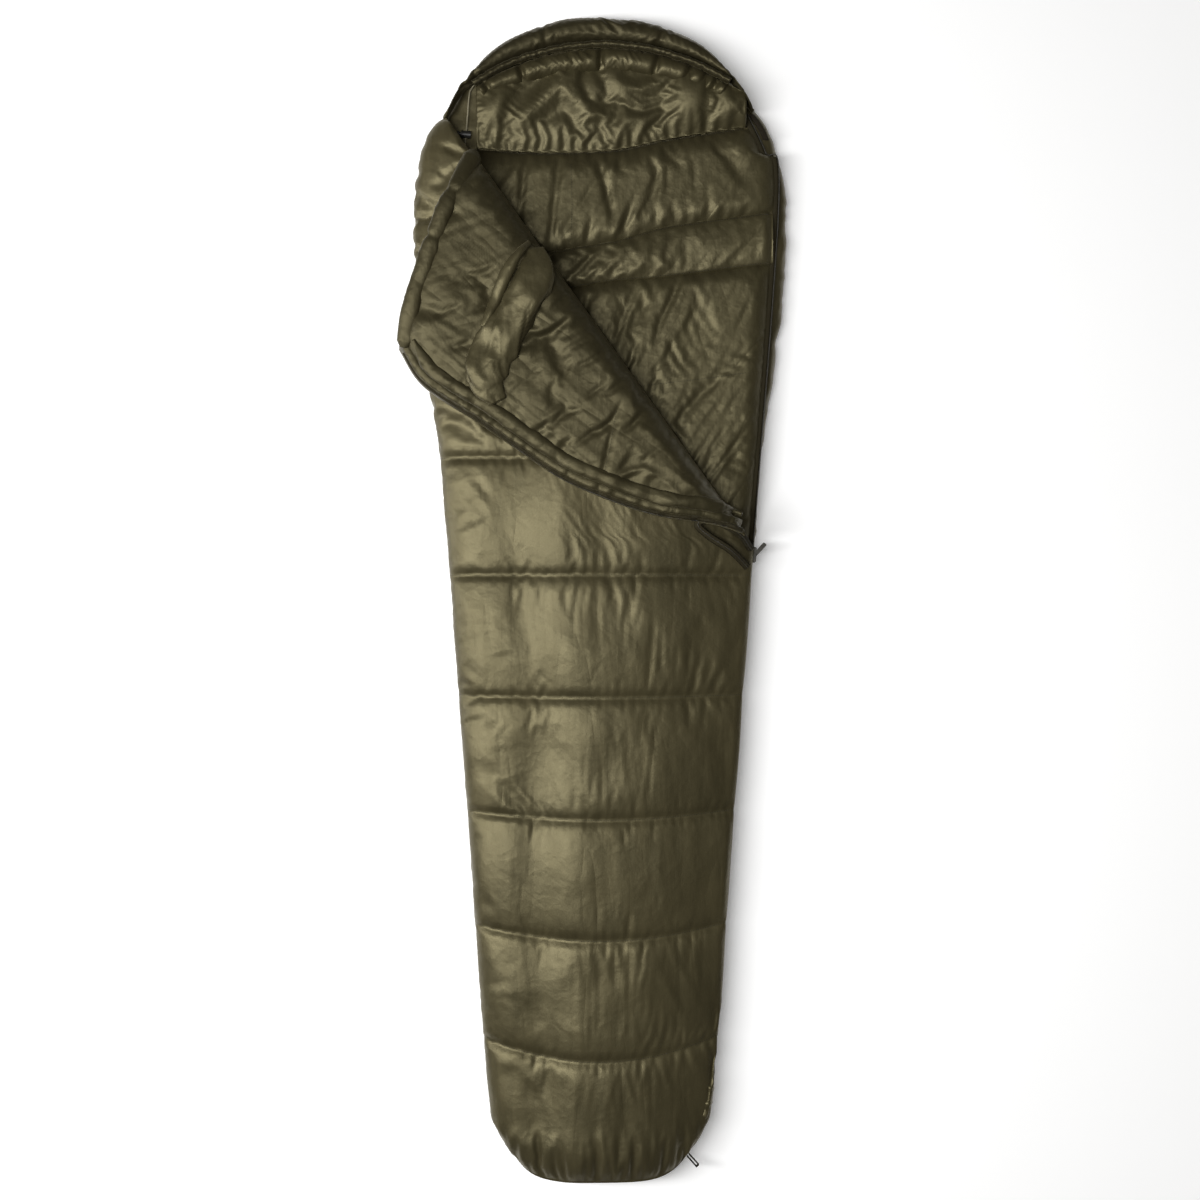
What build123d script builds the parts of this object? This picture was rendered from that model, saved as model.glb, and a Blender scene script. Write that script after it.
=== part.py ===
from build123d import *

import math
import os

# Mummy sleeping bag, laid flat and part unzipped, with the corner of its front folded back.
# Millimetres. +Z is up, +Y runs from the foot to the head and +X is the zip side.
# The origin is on the resting plane, on the centre line, half way along the bag.
# Every soft panel is an outer shell, an insulation pad quilted in channels, and a lining.

# ---- driving sizes -------------------------------------------------------------------------
HEAD_Y = 1101.0
FOOT_Y = -1098.0
BACK_TOP = 35.0  # back panel, squashed by its own weight
CAVITY_H = 25.0  # room left between the back and the front lining
PANEL_H = 45.0  # front panel at the crown of a channel
CLOTH_T = 1.5  # one layer of shell or lining cloth with its loft
GAP = 0.3  # clearance between neighbouring curved layers

FRONT_LOW = BACK_TOP + CAVITY_H
FRONT_TOP = FRONT_LOW + PANEL_H
SEAM_DIP = 15.0  # how far a quilting seam pulls the shell down
EDGE_H = 14.0  # height of the bevel round a panel's edge
SHOULDER_H = 18.0  # height of the upright edge under the bevel of the front panel
SHOULDER_IN = 34.0  # how far that bevel runs in from the outline

# Right half of the plan outline, foot to head. The stretch between the two STRAIGHT points is straight.
FOOT_CORNER = (92, FOOT_Y)
FOOT_SIDE = [(150, -1070), (190, -1003)]
STRAIGHT_LOW = (217, -900)
STRAIGHT_HIGH = (304.5, 250)
SHOULDER = [(329, 420), (349, 600), (353, 745), (333, 850), (298, 916), (258, 978), (187, 1050), (84, 1093)]
CROWN = (0, HEAD_Y)

QUILT_PITCH = 225.0
QUILT_SEAMS = [40 + QUILT_PITCH * i for i in range(-4, 4)]
NECK_Y = 858.0  # seam between the back panel and the hood

# The zip runs straight on the right side, then turns in along the shoulder.
ZIP_LOW = (212.0, -900.0)
ZIP_HIGH = (337.0, 745.0)
ZIP_SHOULDER = (311.0, 850.0)
ZIP_END = (270.0, 935.0)
TAPE_T = 1.0
COIL_W = 3.2
BACK_COIL = (43.0, 46.0)  # the two coils leave room between them for the slider's divider
FRONT_COIL = (49.0, 52.0)
SLIDER_Z = (41.0, 54.5)
SLIDER_L = 30.0
SLIDER_W = 15.0
SLIDER_REST_Y = 84.0
FRONT_ZIP_TOP_Y = 100.0  # the front's half of the zip ends here, at the fold
PULL_X = 4.7
PULL_REST = 48.0  # the pull points this far round from +X

# The fold of the front: the edge that shows runs from FOLD_A to FOLD_B.
FOLD_A = Vector(-229, 820)
FOLD_B = Vector(278, 111)
FLAP_CORNER = (-378, 468)
FLAP_HEM = [(-245, 838), (-304, 716), (-357, 565), FLAP_CORNER]
FLAP_ZIP_EDGE = [FLAP_CORNER, (-304, 376), (-229, 329), (-77, 225), (74, 163), (187, 143), (272, 119)]
FLAP_LOW = FRONT_TOP + 1.0
FLAP_TOP = FLAP_LOW + PANEL_H
FOLD_Z = (FRONT_TOP + FLAP_LOW) / 2
FOLD_R = FOLD_Z - FRONT_LOW
HINGE_OUT = 8.0  # the turning line lies this far out of the fold's edge

# On the flap's lining: the draft tube, the zip tape and the neck baffle. On the back: its baffle.
TUBE_R = 9.0
TUBE_INSET = 25.0
FLAP_TAPE_W = 9.0
BAFFLE_START = (-140, 612)
BAFFLE_END = (-214, 408)
BAFFLE_HALF_W = 48.0
BAFFLE_H = 18.0
BACK_BAFFLE_H = 5.0
BACK_BAFFLE_IN = 24.0
FRONT_END_Y = 905.0
FOOT_SEAM_Y = -1064.0
PATCH_AT = (302.0, 896.0)

# The hood's brim: a band of shell, a cord channel inside it, then a padded collar.
CHANNEL_C = (4.0, 602.6)
CHANNEL_R = 449.4
CHANNEL_W = 10.0
COLLAR_C = (3.0, 458.0)
COLLAR_R = 552.0
BRIM_TOP = 88.0
COLLAR_TOP = 80.0
CORD_D = 3.0
CORD_Z = 43.0
BRIM_LEFT_Y = 915.0
COLLAR_LEFT_Y = 976.0
BRIM_RIGHT_Y = 950.0

# The cord lock sits on the drawcord between the channel's end and the cord's free tail.
CORD_RUN = 92.0
LOCK_AT = 76.0  # the cord lock's place along the cord's straight run
LOCK_R = 7.0
LOCK_L = 18.0
LOCK_BORE_R = 4.4
BUTTON_TRAVEL = 3.5
KNOT_R = 3.0

FAR = 3000.0

# ---- shared shapes -------------------------------------------------------------------------
fold_dir = (FOLD_B - FOLD_A).normalized()
fold_out = Vector(-fold_dir.Y, fold_dir.X)  # from the folded flap towards the open side
zip_dir = (Vector(*ZIP_HIGH) - Vector(*ZIP_LOW)).normalized()
zip_turn = math.degrees(math.atan2(zip_dir.Y, zip_dir.X)) - 90


def moved_in(points, inset):
    """The points of an open run, each moved to its left by inset, as the run goes anticlockwise."""
    out = []
    for i, point in enumerate(points):
        before = Vector(*points[max(i - 1, 0)])
        after = Vector(*points[min(i + 1, len(points) - 1)])
        along = (after - before).normalized()
        out.append(Vector(*point) + Vector(-along.Y, along.X) * inset)
    return out


def outline_face(inset=0.0, z=0.0):
    """The bag's plan outline, moved in by inset, as a face at height z."""
    right = [FOOT_CORNER, *FOOT_SIDE, STRAIGHT_LOW, STRAIGHT_HIGH, *SHOULDER, CROWN]
    in_right = moved_in([(0, FOOT_Y), *right, (-SHOULDER[-1][0], SHOULDER[-1][1])], inset)[1:-1]
    low = in_right[: len(FOOT_SIDE) + 2]
    high = in_right[len(FOOT_SIDE) + 2 :]
    mirror = [Vector(-p.X, p.Y) for p in in_right]
    mirror_low, mirror_high = mirror[: len(low)], mirror[len(low) :]
    up = (high[0] - low[-1]).normalized()
    down = Vector(up.X, -up.Y)
    out_of_foot = low[1] - low[0]
    edges = [
        Line(mirror_low[0], low[0]),
        Spline(*low, tangents=[out_of_foot, up]),
        Line(low[-1], high[0]),
        Spline(*high, *reversed(mirror_high[:-1]), tangents=[up, down]),
        Line(mirror_high[0], mirror_low[-1]),
        Spline(*reversed(mirror_low), tangents=[down, Vector(out_of_foot.X, -out_of_foot.Y)]),
    ]
    return Pos(0, 0, z) * make_face(edges)


def slab(x0, x1, y0, y1, z0, z1):
    return Pos((x0 + x1) / 2, (y0 + y1) / 2, (z0 + z1) / 2) * Box(x1 - x0, y1 - y0, z1 - z0)


def plate(inset, z0, z1):
    return extrude(outline_face(inset, z0), z1 - z0)


def bowl(inset, z0):
    """The back panel's solid: a bevelled foot edge, then upright sides up to BACK_TOP."""
    bevel = loft([outline_face(EDGE_H + inset, z0), outline_face(inset, EDGE_H + z0)], ruled=True)
    return bevel + plate(inset, EDGE_H + z0, BACK_TOP)


def dome(inset, z1):
    """The front panel's solid: upright sides, then a long bevel up to z1."""
    knee = FRONT_LOW + SHOULDER_H
    bevel = loft([outline_face(inset, knee), outline_face(SHOULDER_IN + inset, z1)], ruled=True)
    return plate(inset, FRONT_LOW, knee) + bevel


def scallops(seams, z0, z1, dip):
    """Quilted channels: an arch between each two seams, along the whole bag."""
    stops = [-FAR / 2, *seams, FAR / 2]
    edges = []
    for low, high in zip(stops, stops[1:]):
        crown = z1 if high - low < 2 * QUILT_PITCH else z1 + dip
        mid = (low + high) / 2
        edges.append(ThreePointArc((0, low, z1 - dip), (0, mid, crown), (0, high, z1 - dip)))
    edges.append(Line((0, FAR / 2, z1 - dip), (0, FAR / 2, z0)))
    edges.append(Line((0, FAR / 2, z0), (0, -FAR / 2, z0)))
    edges.append(Line((0, -FAR / 2, z0), (0, -FAR / 2, z1 - dip)))
    return Pos(-FAR / 2, 0, 0) * extrude(make_face(edges), FAR, dir=(1, 0, 0))


def fold_keep(inset=0.0):
    """The bag's side of the fold line, ending in a half round roll; the roll is smaller by inset."""
    r = FOLD_R - inset
    profile = [
        Line((-FAR, FAR), (-FOLD_R, FAR)),
        Line((-FOLD_R, FAR), (-FOLD_R, FOLD_Z + r)),
        ThreePointArc((-FOLD_R, FOLD_Z + r), (-FOLD_R + r, FOLD_Z), (-FOLD_R, FOLD_Z - r)),
        Line((-FOLD_R, FOLD_Z - r), (-FOLD_R, -FAR)),
        Line((-FOLD_R, -FAR), (-FAR, -FAR)),
        Line((-FAR, -FAR), (-FAR, FAR)),
    ]
    origin = FOLD_A - fold_dir * FAR
    across = Plane(
        origin=(origin.X, origin.Y, 0),
        x_dir=(fold_out.X, fold_out.Y, 0),
        z_dir=(fold_dir.X, fold_dir.Y, 0),
    )
    return extrude(across * make_face(profile), 2 * FAR)


def biggest(shape):
    return max(shape.solids(), key=lambda s: s.volume)


# ---- back panel ----------------------------------------------------------------------------
def back_layers(y0, y1, joint):
    """Shell, insulation and lining of the back between two levels of Y; joint clears the neighbour."""
    here = slab(-FAR, FAR, y0, y1, -1, BACK_TOP)
    inner = slab(-FAR, FAR, y0 + joint, y1 - joint, -1, FAR)
    inside = CLOTH_T + GAP
    shell = (bowl(0, 0) & here) - plate(CLOTH_T, EDGE_H, BACK_TOP) - bowl(CLOTH_T, CLOTH_T)
    pads = bowl(inside, inside) & inner & slab(-FAR, FAR, -FAR, FAR, -1, BACK_TOP - CLOTH_T)
    lining = plate(inside, BACK_TOP - CLOTH_T, BACK_TOP) & inner
    return shell, quilted_back(pads), lining


def quilted_back(pads):
    """Thin grooves across the insulation where the back's quilting seams pull it flat."""
    for y in QUILT_SEAMS:
        groove = Pos(0, y, BACK_TOP - CLOTH_T) * Rot(0, 90, 0) * Cylinder(6, FAR)
        pads = pads - groove
    return pads


# ---- front panel ---------------------------------------------------------------------------
def front_solid(inset, y0, y1):
    """The front's solid, smaller all round by inset, with its quilted top and rolled fold."""
    quilt = scallops(QUILT_SEAMS, FRONT_LOW, FRONT_TOP - inset, SEAM_DIP)
    here = slab(-FAR, FAR, y0, y1, FRONT_LOW, FAR)
    return biggest(dome(inset, FRONT_TOP - inset) & quilt & fold_keep(inset) & here)


def front_layers(y0, y1):
    inside = CLOTH_T + GAP
    solid = front_solid(0, y0, y1)
    shell = biggest(solid - front_solid(CLOTH_T, y0 + CLOTH_T, y1 - CLOTH_T))
    core = front_solid(inside, y0 + inside, y1 - inside)
    lining_top = FRONT_LOW + CLOTH_T
    pads = biggest(core & slab(-FAR, FAR, -FAR, FAR, lining_top, FAR))
    lining = biggest(core & slab(-FAR, FAR, -FAR, FAR, FRONT_LOW, lining_top))
    return shell, pads, lining


def side_band(z0, z1, width):
    """The strip of cloth just inside the outline that joins back and front."""
    return plate(0, z0, z1) - plate(width, z0, z1)


def webbing_loop(root, direction, length, gap, width, thick, z):
    """A folded piece of webbing standing on edge, its slot open from top to bottom."""
    outer = slab(0, length, -gap / 2 - thick, gap / 2 + thick, 0, width)
    hole = slab(2, length - thick, -gap / 2, gap / 2, 0, width)
    return Pos(root[0], root[1], z) * Rot(0, 0, direction) * (outer - hole)


# ---- hood ----------------------------------------------------------------------------------
def disc(centre, radius):
    return Pos(*centre) * Circle(radius)


def brim_limits(left_y):
    """The room the brim may fill: it stops short of the zip's end on the right."""
    left = slab(-FAR, 0, left_y, FAR, -FAR, FAR)
    right = slab(0, FAR, BRIM_RIGHT_Y, FAR, -FAR, FAR)
    return left + right


def crescent(inset, centre, radius, z0, z1):
    """The part of the outline outside a disc, from z0 to z1."""
    return extrude(Pos(0, 0, z0) * (outline_face(inset) - disc(centre, radius)), z1 - z0)


def brim_solid(inset):
    bevel = loft(
        [outline_face(inset, BACK_TOP + 25), outline_face(inset + 24, BRIM_TOP - inset)], ruled=True
    )
    mass = plate(inset, BACK_TOP, BACK_TOP + 25) + bevel
    ring = crescent(inset, CHANNEL_C, CHANNEL_R + inset, BACK_TOP, BRIM_TOP - inset)
    return biggest(mass & ring & (Pos(0, inset, 0) * brim_limits(BRIM_LEFT_Y)))


def hood_channel():
    wall = crescent(CLOTH_T, CHANNEL_C, CHANNEL_R - CHANNEL_W, BACK_TOP, BRIM_TOP - 4)
    wall = wall & extrude(disc(CHANNEL_C, CHANNEL_R - GAP), FAR) & brim_limits(COLLAR_LEFT_Y)
    middle = CHANNEL_R - CHANNEL_W / 2
    bore = disc(CHANNEL_C, middle + CORD_D) - disc(CHANNEL_C, middle - CORD_D)
    return biggest(wall - extrude(Pos(0, 0, CORD_Z - CORD_D) * bore, 2 * CORD_D))


def collar_solid(inset):
    low_disc = extrude(disc(COLLAR_C, COLLAR_R + inset), FAR)
    top_disc = extrude(disc(CHANNEL_C, CHANNEL_R - CHANNEL_W - GAP - inset), FAR)
    mass = plate(CLOTH_T + inset, BACK_TOP, COLLAR_TOP - inset)
    limits = Pos(0, inset, 0) * brim_limits(COLLAR_LEFT_Y)
    return biggest((mass & top_disc & limits) - low_disc)


def drawcord_path():
    """The cord's middle line: round the channel, out of its left end, and on through the cord lock."""
    r = CHANNEL_R - CHANNEL_W / 2
    round_hood = CenterArc((*CHANNEL_C, CORD_Z), r, 57.5, 65.8)
    turn = JernArc(round_hood @ 1, round_hood % 1, radius=22, arc_size=52)
    run = Line(turn @ 1, turn @ 1 + (turn % 1) * CORD_RUN)
    return round_hood + turn + run, turn @ 1, turn % 1


def rod(path, start, along, diameter):
    return sweep(Plane(origin=start, z_dir=along) * Circle(diameter / 2), path=path)


def cord_lock(centre, along):
    """The lock's barrel, button and spring, built with the barrel along X and the cord along Y."""
    barrel = Rot(0, 90, 0) * Cylinder(LOCK_R, LOCK_L)
    well = Pos(-2, 0, 0) * Rot(0, 90, 0) * Cylinder(LOCK_BORE_R, LOCK_L)
    cord_hole = Rot(90, 0, 0) * Cylinder(CORD_D / 2 + 0.6, 40)
    barrel = barrel - well - cord_hole
    stem = Pos(-5.5, 0, 0) * Rot(0, 90, 0) * Cylinder(LOCK_BORE_R - 0.4, 17)
    head = Pos(-15.5, 0, 0) * Rot(0, 90, 0) * Cylinder(LOCK_R - 1, 3)
    slot_w = CORD_D / 2 + 0.6
    slot = slab(-slot_w - BUTTON_TRAVEL, slot_w, -20, 20, -slot_w, slot_w)
    button = stem + head - slot
    coil = Helix(pitch=0.75, height=3.4, radius=2.6)
    spring = Pos(3.3, 0, 0) * Rot(0, 90, 0) * sweep(Plane(coil @ 0, z_dir=coil % 0) * Circle(0.25), path=coil)
    turn = math.degrees(math.atan2(along.Y, along.X)) + 90
    place = Pos(*centre) * Rot(0, 0, turn)
    return place * barrel, place * button, place * spring


def tail_path(start, along):
    """The free end of the drawcord: straight runs joined by tangent arcs. Gives path and end."""
    points = [start, start + along * 21]
    points.append(points[-1] + Vector(fold_dir.X, fold_dir.Y, -0.09) * 30)
    points.append(points[-1] + Vector(0.70, -0.71, -0.05) * 24)
    radii = []
    for before, here, after in zip(points, points[1:], points[2:]):
        a, b = here - before, after - here
        half = math.radians(a.get_angle(b)) / 2
        radii.append(0.45 * min(a.length, b.length) / math.tan(half))
    print("drawcord_tail radii", [round(r, 2) for r in radii])
    print("drawcord_tail points", [tuple(round(v, 1) for v in p) for p in points])
    return FilletPolyline(*points, radius=radii), points


# ---- folded flap ---------------------------------------------------------------------------
hinge_axis = Axis(
    origin=(FOLD_A.X + fold_out.X * HINGE_OUT, FOLD_A.Y + fold_out.Y * HINGE_OUT, FOLD_Z),
    direction=(-fold_dir.X, -fold_dir.Y, 0),
)


def flap_face(inset):
    """The flap's plan: the neck hem, the zip edge, and a straight side past the fold line."""
    hem = moved_in(FLAP_HEM, inset)
    zip_edge = moved_in(FLAP_ZIP_EDGE, inset)
    corner = Vector(*FLAP_CORNER) + Vector(inset * 1.3, 0)
    hem[-1] = zip_edge[0] = corner
    past_b = zip_edge[-1] + fold_out * 90
    past_a = hem[0] + fold_out * 90
    edges = [
        Spline(*hem),
        Spline(*zip_edge),
        Line(zip_edge[-1], past_b),
        Line(past_b, past_a),
        Line(past_a, hem[0]),
    ]
    return make_face(edges)


def flap_solid(inset):
    """The flap as it lies: lining up, quilted shell down, rolled edge along the fold."""
    quilt = scallops(QUILT_SEAMS, FRONT_LOW, FRONT_TOP - inset, SEAM_DIP).rotate(hinge_axis, 180)
    body = extrude(Pos(0, 0, FLAP_LOW) * flap_face(inset), PANEL_H)
    return biggest(body & quilt & fold_keep(inset))


def flap_layers():
    inside = CLOTH_T + GAP
    shell = biggest(flap_solid(0) - flap_solid(CLOTH_T))
    core = flap_solid(inside)
    pads = biggest(core & slab(-FAR, FAR, -FAR, FAR, -FAR, FLAP_TOP - CLOTH_T))
    lining = biggest(core & slab(-FAR, FAR, -FAR, FAR, FLAP_TOP - CLOTH_T, FAR))
    return shell, pads, lining


def edge_strip(points, inset, width, z0, z1):
    """A band of constant width that follows a run of points, moved in by inset to its middle."""
    path = Spline(*moved_in(points, inset))
    return extrude(Pos(0, 0, z0) * trace(path, width), z1 - z0)


def draft_tube(radius):
    """The padded tube behind the flap's zip edge."""
    path = Pos(0, 0, FLAP_TOP + TUBE_R + GAP) * Spline(*moved_in(FLAP_ZIP_EDGE[1:], TUBE_INSET))
    return rod(path, path @ 0, path % 0, 2 * radius)


def flap_baffle(inset):
    """The padded neck baffle that lies across the flap's lining, half an ellipse in section."""
    start, end = Vector(*BAFFLE_START), Vector(*BAFFLE_END)
    along = (end - start).normalized()
    start = start + along * inset
    section = Plane(
        origin=(start.X, start.Y, FLAP_TOP + inset), x_dir=(-along.Y, along.X, 0), z_dir=(along.X, along.Y, 0)
    )
    half_w, height = BAFFLE_HALF_W - inset, BAFFLE_H - 2 * inset
    arch = EllipticalCenterArc((0, 0), half_w, height, 0, arc_size=180)
    profile = make_face([arch, Line((half_w, 0), (-half_w, 0))])
    return extrude(section * profile, (end - start).length - inset)


# ---- neck baffle of the back ---------------------------------------------------------------
def back_baffle(inset):
    corners = [(-345, 524), (-77, 584), (345, 634), (345, 748), (-49, 660), (-345, 600)]
    area = offset(make_face(Polyline(*corners, close=True)), -inset)
    band = extrude(Pos(0, 0, BACK_TOP) * area, BACK_BAFFLE_H - inset)
    return biggest(band & plate(BACK_BAFFLE_IN + inset, 0, FAR))


# ---- zip -----------------------------------------------------------------------------------
def zip_point(y):
    """The point of the zip's straight part at this Y."""
    return Vector(*ZIP_LOW) + zip_dir * ((y - ZIP_LOW[1]) / zip_dir.Y)


def zip_strip(width, z0, z1, to_end):
    """A strip that follows the zip, either right round to its end or only up to the fold."""
    if to_end:
        path = Line(ZIP_LOW, ZIP_HIGH) + ThreePointArc(ZIP_HIGH, ZIP_SHOULDER, ZIP_END)
    else:
        path = Line(ZIP_LOW, zip_point(FRONT_ZIP_TOP_Y))
    return extrude(Pos(0, 0, z0) * trace(path, width), z1 - z0)


def on_zip(shape, y):
    """Place a shape made along the Y axis on the zip, at this Y."""
    at = zip_point(y)
    return Pos(at.X, at.Y, 0) * Rot(0, 0, zip_turn) * shape


def zip_slider():
    z0, z1 = SLIDER_Z
    half_l, half_w = SLIDER_L / 2, SLIDER_W / 2
    body = fillet(slab(-half_w, half_w, -half_l, half_l, z0, z1).edges().filter_by(Axis.Z), 4)
    tape_slot = slab(-TAPE_T / 2 - GAP, TAPE_T / 2 + GAP, -FAR, FAR, z0, z1)
    coil_room = slab(-COIL_W / 2 - GAP, COIL_W / 2 + GAP, -FAR, FAR, BACK_COIL[0] - GAP, FRONT_COIL[1] + GAP)
    divider = slab(-COIL_W / 2 - 1, COIL_W / 2 + 1, -half_l + 3, half_l - 3, BACK_COIL[1] + 0.6, FRONT_COIL[0] - 0.6)
    post = Pos(PULL_X, 0, z1 + 1.4) * Cylinder(1.6, 2.8)
    head = Pos(PULL_X, 0, z1 + 2.4) * Cylinder(2.6, 0.8)
    return body - tape_slot - coil_room + divider + post + head


def zip_pull():
    """The pull: a tapered tab with an eye round the slider's post, pointing out of the bag."""
    tab = make_hull([CenterArc((0, 0), 3.6, 0, 360), *RectangleRounded(14, 8, 2).locate(Pos(22, 0)).edges()])
    eye = Pos(0, 0) * Circle(1.9)
    z = SLIDER_Z[1] + 0.4
    return Pos(PULL_X, 0, z) * Rot(0, 0, PULL_REST - zip_turn) * extrude(tab - eye, 1.4)


# ---- assembly ------------------------------------------------------------------------------
def build():
    nodes = {}

    def add_layers(prefix, layers):
        for layer, shape in zip(("shell", "insulation", "lining"), layers):
            nodes[f"{prefix}_{layer}"] = shape

    add_layers("back", back_layers(-FAR, NECK_Y, GAP))
    add_layers("hood_back", back_layers(NECK_Y + GAP, FAR, GAP))
    add_layers("front", front_layers(FOOT_SEAM_Y + GAP, FRONT_END_Y))
    add_layers("foot_gather", front_layers(-FAR, FOOT_SEAM_Y))
    add_layers("flap", flap_layers())

    band = side_band(BACK_TOP, FRONT_LOW, 2)
    low_y, high_y = STRAIGHT_LOW[1], STRAIGHT_HIGH[1]
    nodes["left_side_seam"] = biggest(band & slab(-FAR, 0, low_y, high_y, 0, FAR))
    nodes["left_shoulder_seam"] = biggest(band & slab(-FAR, 0, high_y + GAP, NECK_Y, 0, FAR))
    nodes["foot_panel"] = biggest(band & slab(-FAR, FAR, -FAR, low_y - 6, 0, FAR))

    outside = plate(-GAP, 0, FAR)
    nodes["foot_loop_right"] = biggest(webbing_loop((158, -1046), -48, 38, 4, 12, 1.5, 41) - outside)
    nodes["foot_loop_left"] = biggest(webbing_loop((-190, -975), 180, 16, 2, 10, 1.5, 42) - outside)

    nodes["hood_brim_shell"] = biggest(brim_solid(0) - brim_solid(CLOTH_T))
    nodes["hood_brim_insulation"] = brim_solid(CLOTH_T + GAP)
    nodes["hood_channel"] = hood_channel()
    nodes["hood_collar_lining"] = biggest(collar_solid(0) - collar_solid(CLOTH_T))
    nodes["hood_collar_fill"] = collar_solid(CLOTH_T + GAP)

    cord, run_start, along = drawcord_path()
    nodes["hood_drawcord"] = rod(cord, cord @ 0, cord % 0, CORD_D)
    tail, tail_points = tail_path(run_start + along * CORD_RUN, along)
    nodes["drawcord_tail"] = rod(tail, tail @ 0, tail % 0, CORD_D)
    nodes["drawcord_knot"] = Pos(*(tail_points[-1] + (tail % 1) * (KNOT_R + 0.1))) * Sphere(KNOT_R)
    lock = cord_lock(run_start + along * LOCK_AT, along)
    nodes["cord_lock_body"], nodes["cord_lock_button"], nodes["cord_lock_spring"] = lock

    nodes["back_baffle_cover"] = biggest(back_baffle(0) - back_baffle(CLOTH_T))
    nodes["back_baffle_fill"] = back_baffle(CLOTH_T + GAP)
    nodes["neck_loop_patch"] = Pos(*PATCH_AT, BACK_TOP + 0.75) * Rot(0, 0, 20) * Box(9, 49, 1.5)

    nodes["zip_tape_back"] = zip_strip(TAPE_T, BACK_TOP, BACK_COIL[0], True)
    nodes["zip_coil_back"] = zip_strip(COIL_W, *BACK_COIL, True)
    nodes["zip_tape_front"] = zip_strip(TAPE_T, FRONT_COIL[1], FRONT_LOW, False)
    nodes["zip_coil_front"] = zip_strip(COIL_W, *FRONT_COIL, False)
    nodes["zip_bottom_stop"] = on_zip(slab(-3, 3, 0.5, 5.5, BACK_COIL[1], FRONT_COIL[0]), ZIP_LOW[1])
    nodes["zip_top_stop"] = Pos(ZIP_END[0] + 3, ZIP_END[1] - 3.5, BACK_COIL[1] + 1.25) * Rot(0, 0, 45) * Box(5, 5, 2.5)
    nodes["upper_slider"] = on_zip(zip_slider(), SLIDER_REST_Y)
    nodes["upper_pull"] = on_zip(zip_pull(), SLIDER_REST_Y)

    nodes["flap_hem_binding"] = edge_strip(FLAP_HEM, -2.5 - GAP, 5, FLAP_LOW + 10, FLAP_TOP - 4)
    coil_mid = COIL_W / 2 + 0.2
    tape_mid = coil_mid + COIL_W / 2 + GAP + FLAP_TAPE_W / 2
    nodes["flap_zip_coil"] = edge_strip(FLAP_ZIP_EDGE[1:], coil_mid, COIL_W, FLAP_TOP, FLAP_TOP + 2.4)
    nodes["flap_zip_tape"] = edge_strip(FLAP_ZIP_EDGE[1:], tape_mid, FLAP_TAPE_W, FLAP_TOP, FLAP_TOP + TAPE_T)
    nodes["flap_draft_tube_cover"] = draft_tube(TUBE_R) - draft_tube(TUBE_R - CLOTH_T)
    nodes["flap_draft_tube_fill"] = draft_tube(TUBE_R - CLOTH_T - GAP)
    nodes["flap_baffle_cover"] = biggest(flap_baffle(0) - flap_baffle(CLOTH_T))
    nodes["flap_baffle_fill"] = flap_baffle(CLOTH_T + GAP)
    return nodes


os.makedirs("parts", exist_ok=True)
for name, shape in build().items():
    shape.label = name
    export_step(shape, f"parts/{name}.step")

print("flap axis", hinge_axis)
print("zip direction", zip_dir)
print("slider at", zip_point(SLIDER_REST_Y))
print("cord run", drawcord_path()[1:], "lock at", LOCK_AT)
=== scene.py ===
import math

import bpy
import numpy as np
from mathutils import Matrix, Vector


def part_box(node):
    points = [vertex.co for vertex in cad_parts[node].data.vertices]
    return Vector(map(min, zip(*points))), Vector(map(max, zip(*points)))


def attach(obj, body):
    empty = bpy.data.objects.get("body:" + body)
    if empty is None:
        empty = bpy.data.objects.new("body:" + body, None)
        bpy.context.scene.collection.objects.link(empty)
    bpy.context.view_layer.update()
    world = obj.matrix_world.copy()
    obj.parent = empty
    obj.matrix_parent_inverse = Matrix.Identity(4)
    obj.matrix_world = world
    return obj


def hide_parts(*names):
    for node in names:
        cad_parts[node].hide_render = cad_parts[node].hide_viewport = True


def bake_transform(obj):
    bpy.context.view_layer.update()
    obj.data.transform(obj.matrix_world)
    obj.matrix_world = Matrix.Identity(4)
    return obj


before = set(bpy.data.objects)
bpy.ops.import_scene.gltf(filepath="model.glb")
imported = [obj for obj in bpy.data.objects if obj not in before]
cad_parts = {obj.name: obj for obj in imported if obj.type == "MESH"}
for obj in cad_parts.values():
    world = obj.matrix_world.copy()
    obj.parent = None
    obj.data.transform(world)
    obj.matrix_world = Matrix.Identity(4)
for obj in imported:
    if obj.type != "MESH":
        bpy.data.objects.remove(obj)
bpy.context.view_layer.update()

# A quilted mummy sleeping bag, laid flat, its front's upper corner folded back.
# Metres, in the frame of the CAD: +Y is the head, +X the zip side, +Z up.
# Each padded piece starts as a plain padded shape whose cloth is then relaxed by a small
# cloth solver: the cloth is cut larger than its shape, sewn down at its seams and wrinkles.

# ---- sizes shared by the pieces ------------------------------------------------------------
CAMERA_UP = 4.06
CAMERA_X, CAMERA_Y = -0.0019, -0.0019
VIEW_WIDTH = 2.268  # what the view spans at the height of the quilted front
FRONT_Z = 0.06

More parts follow.
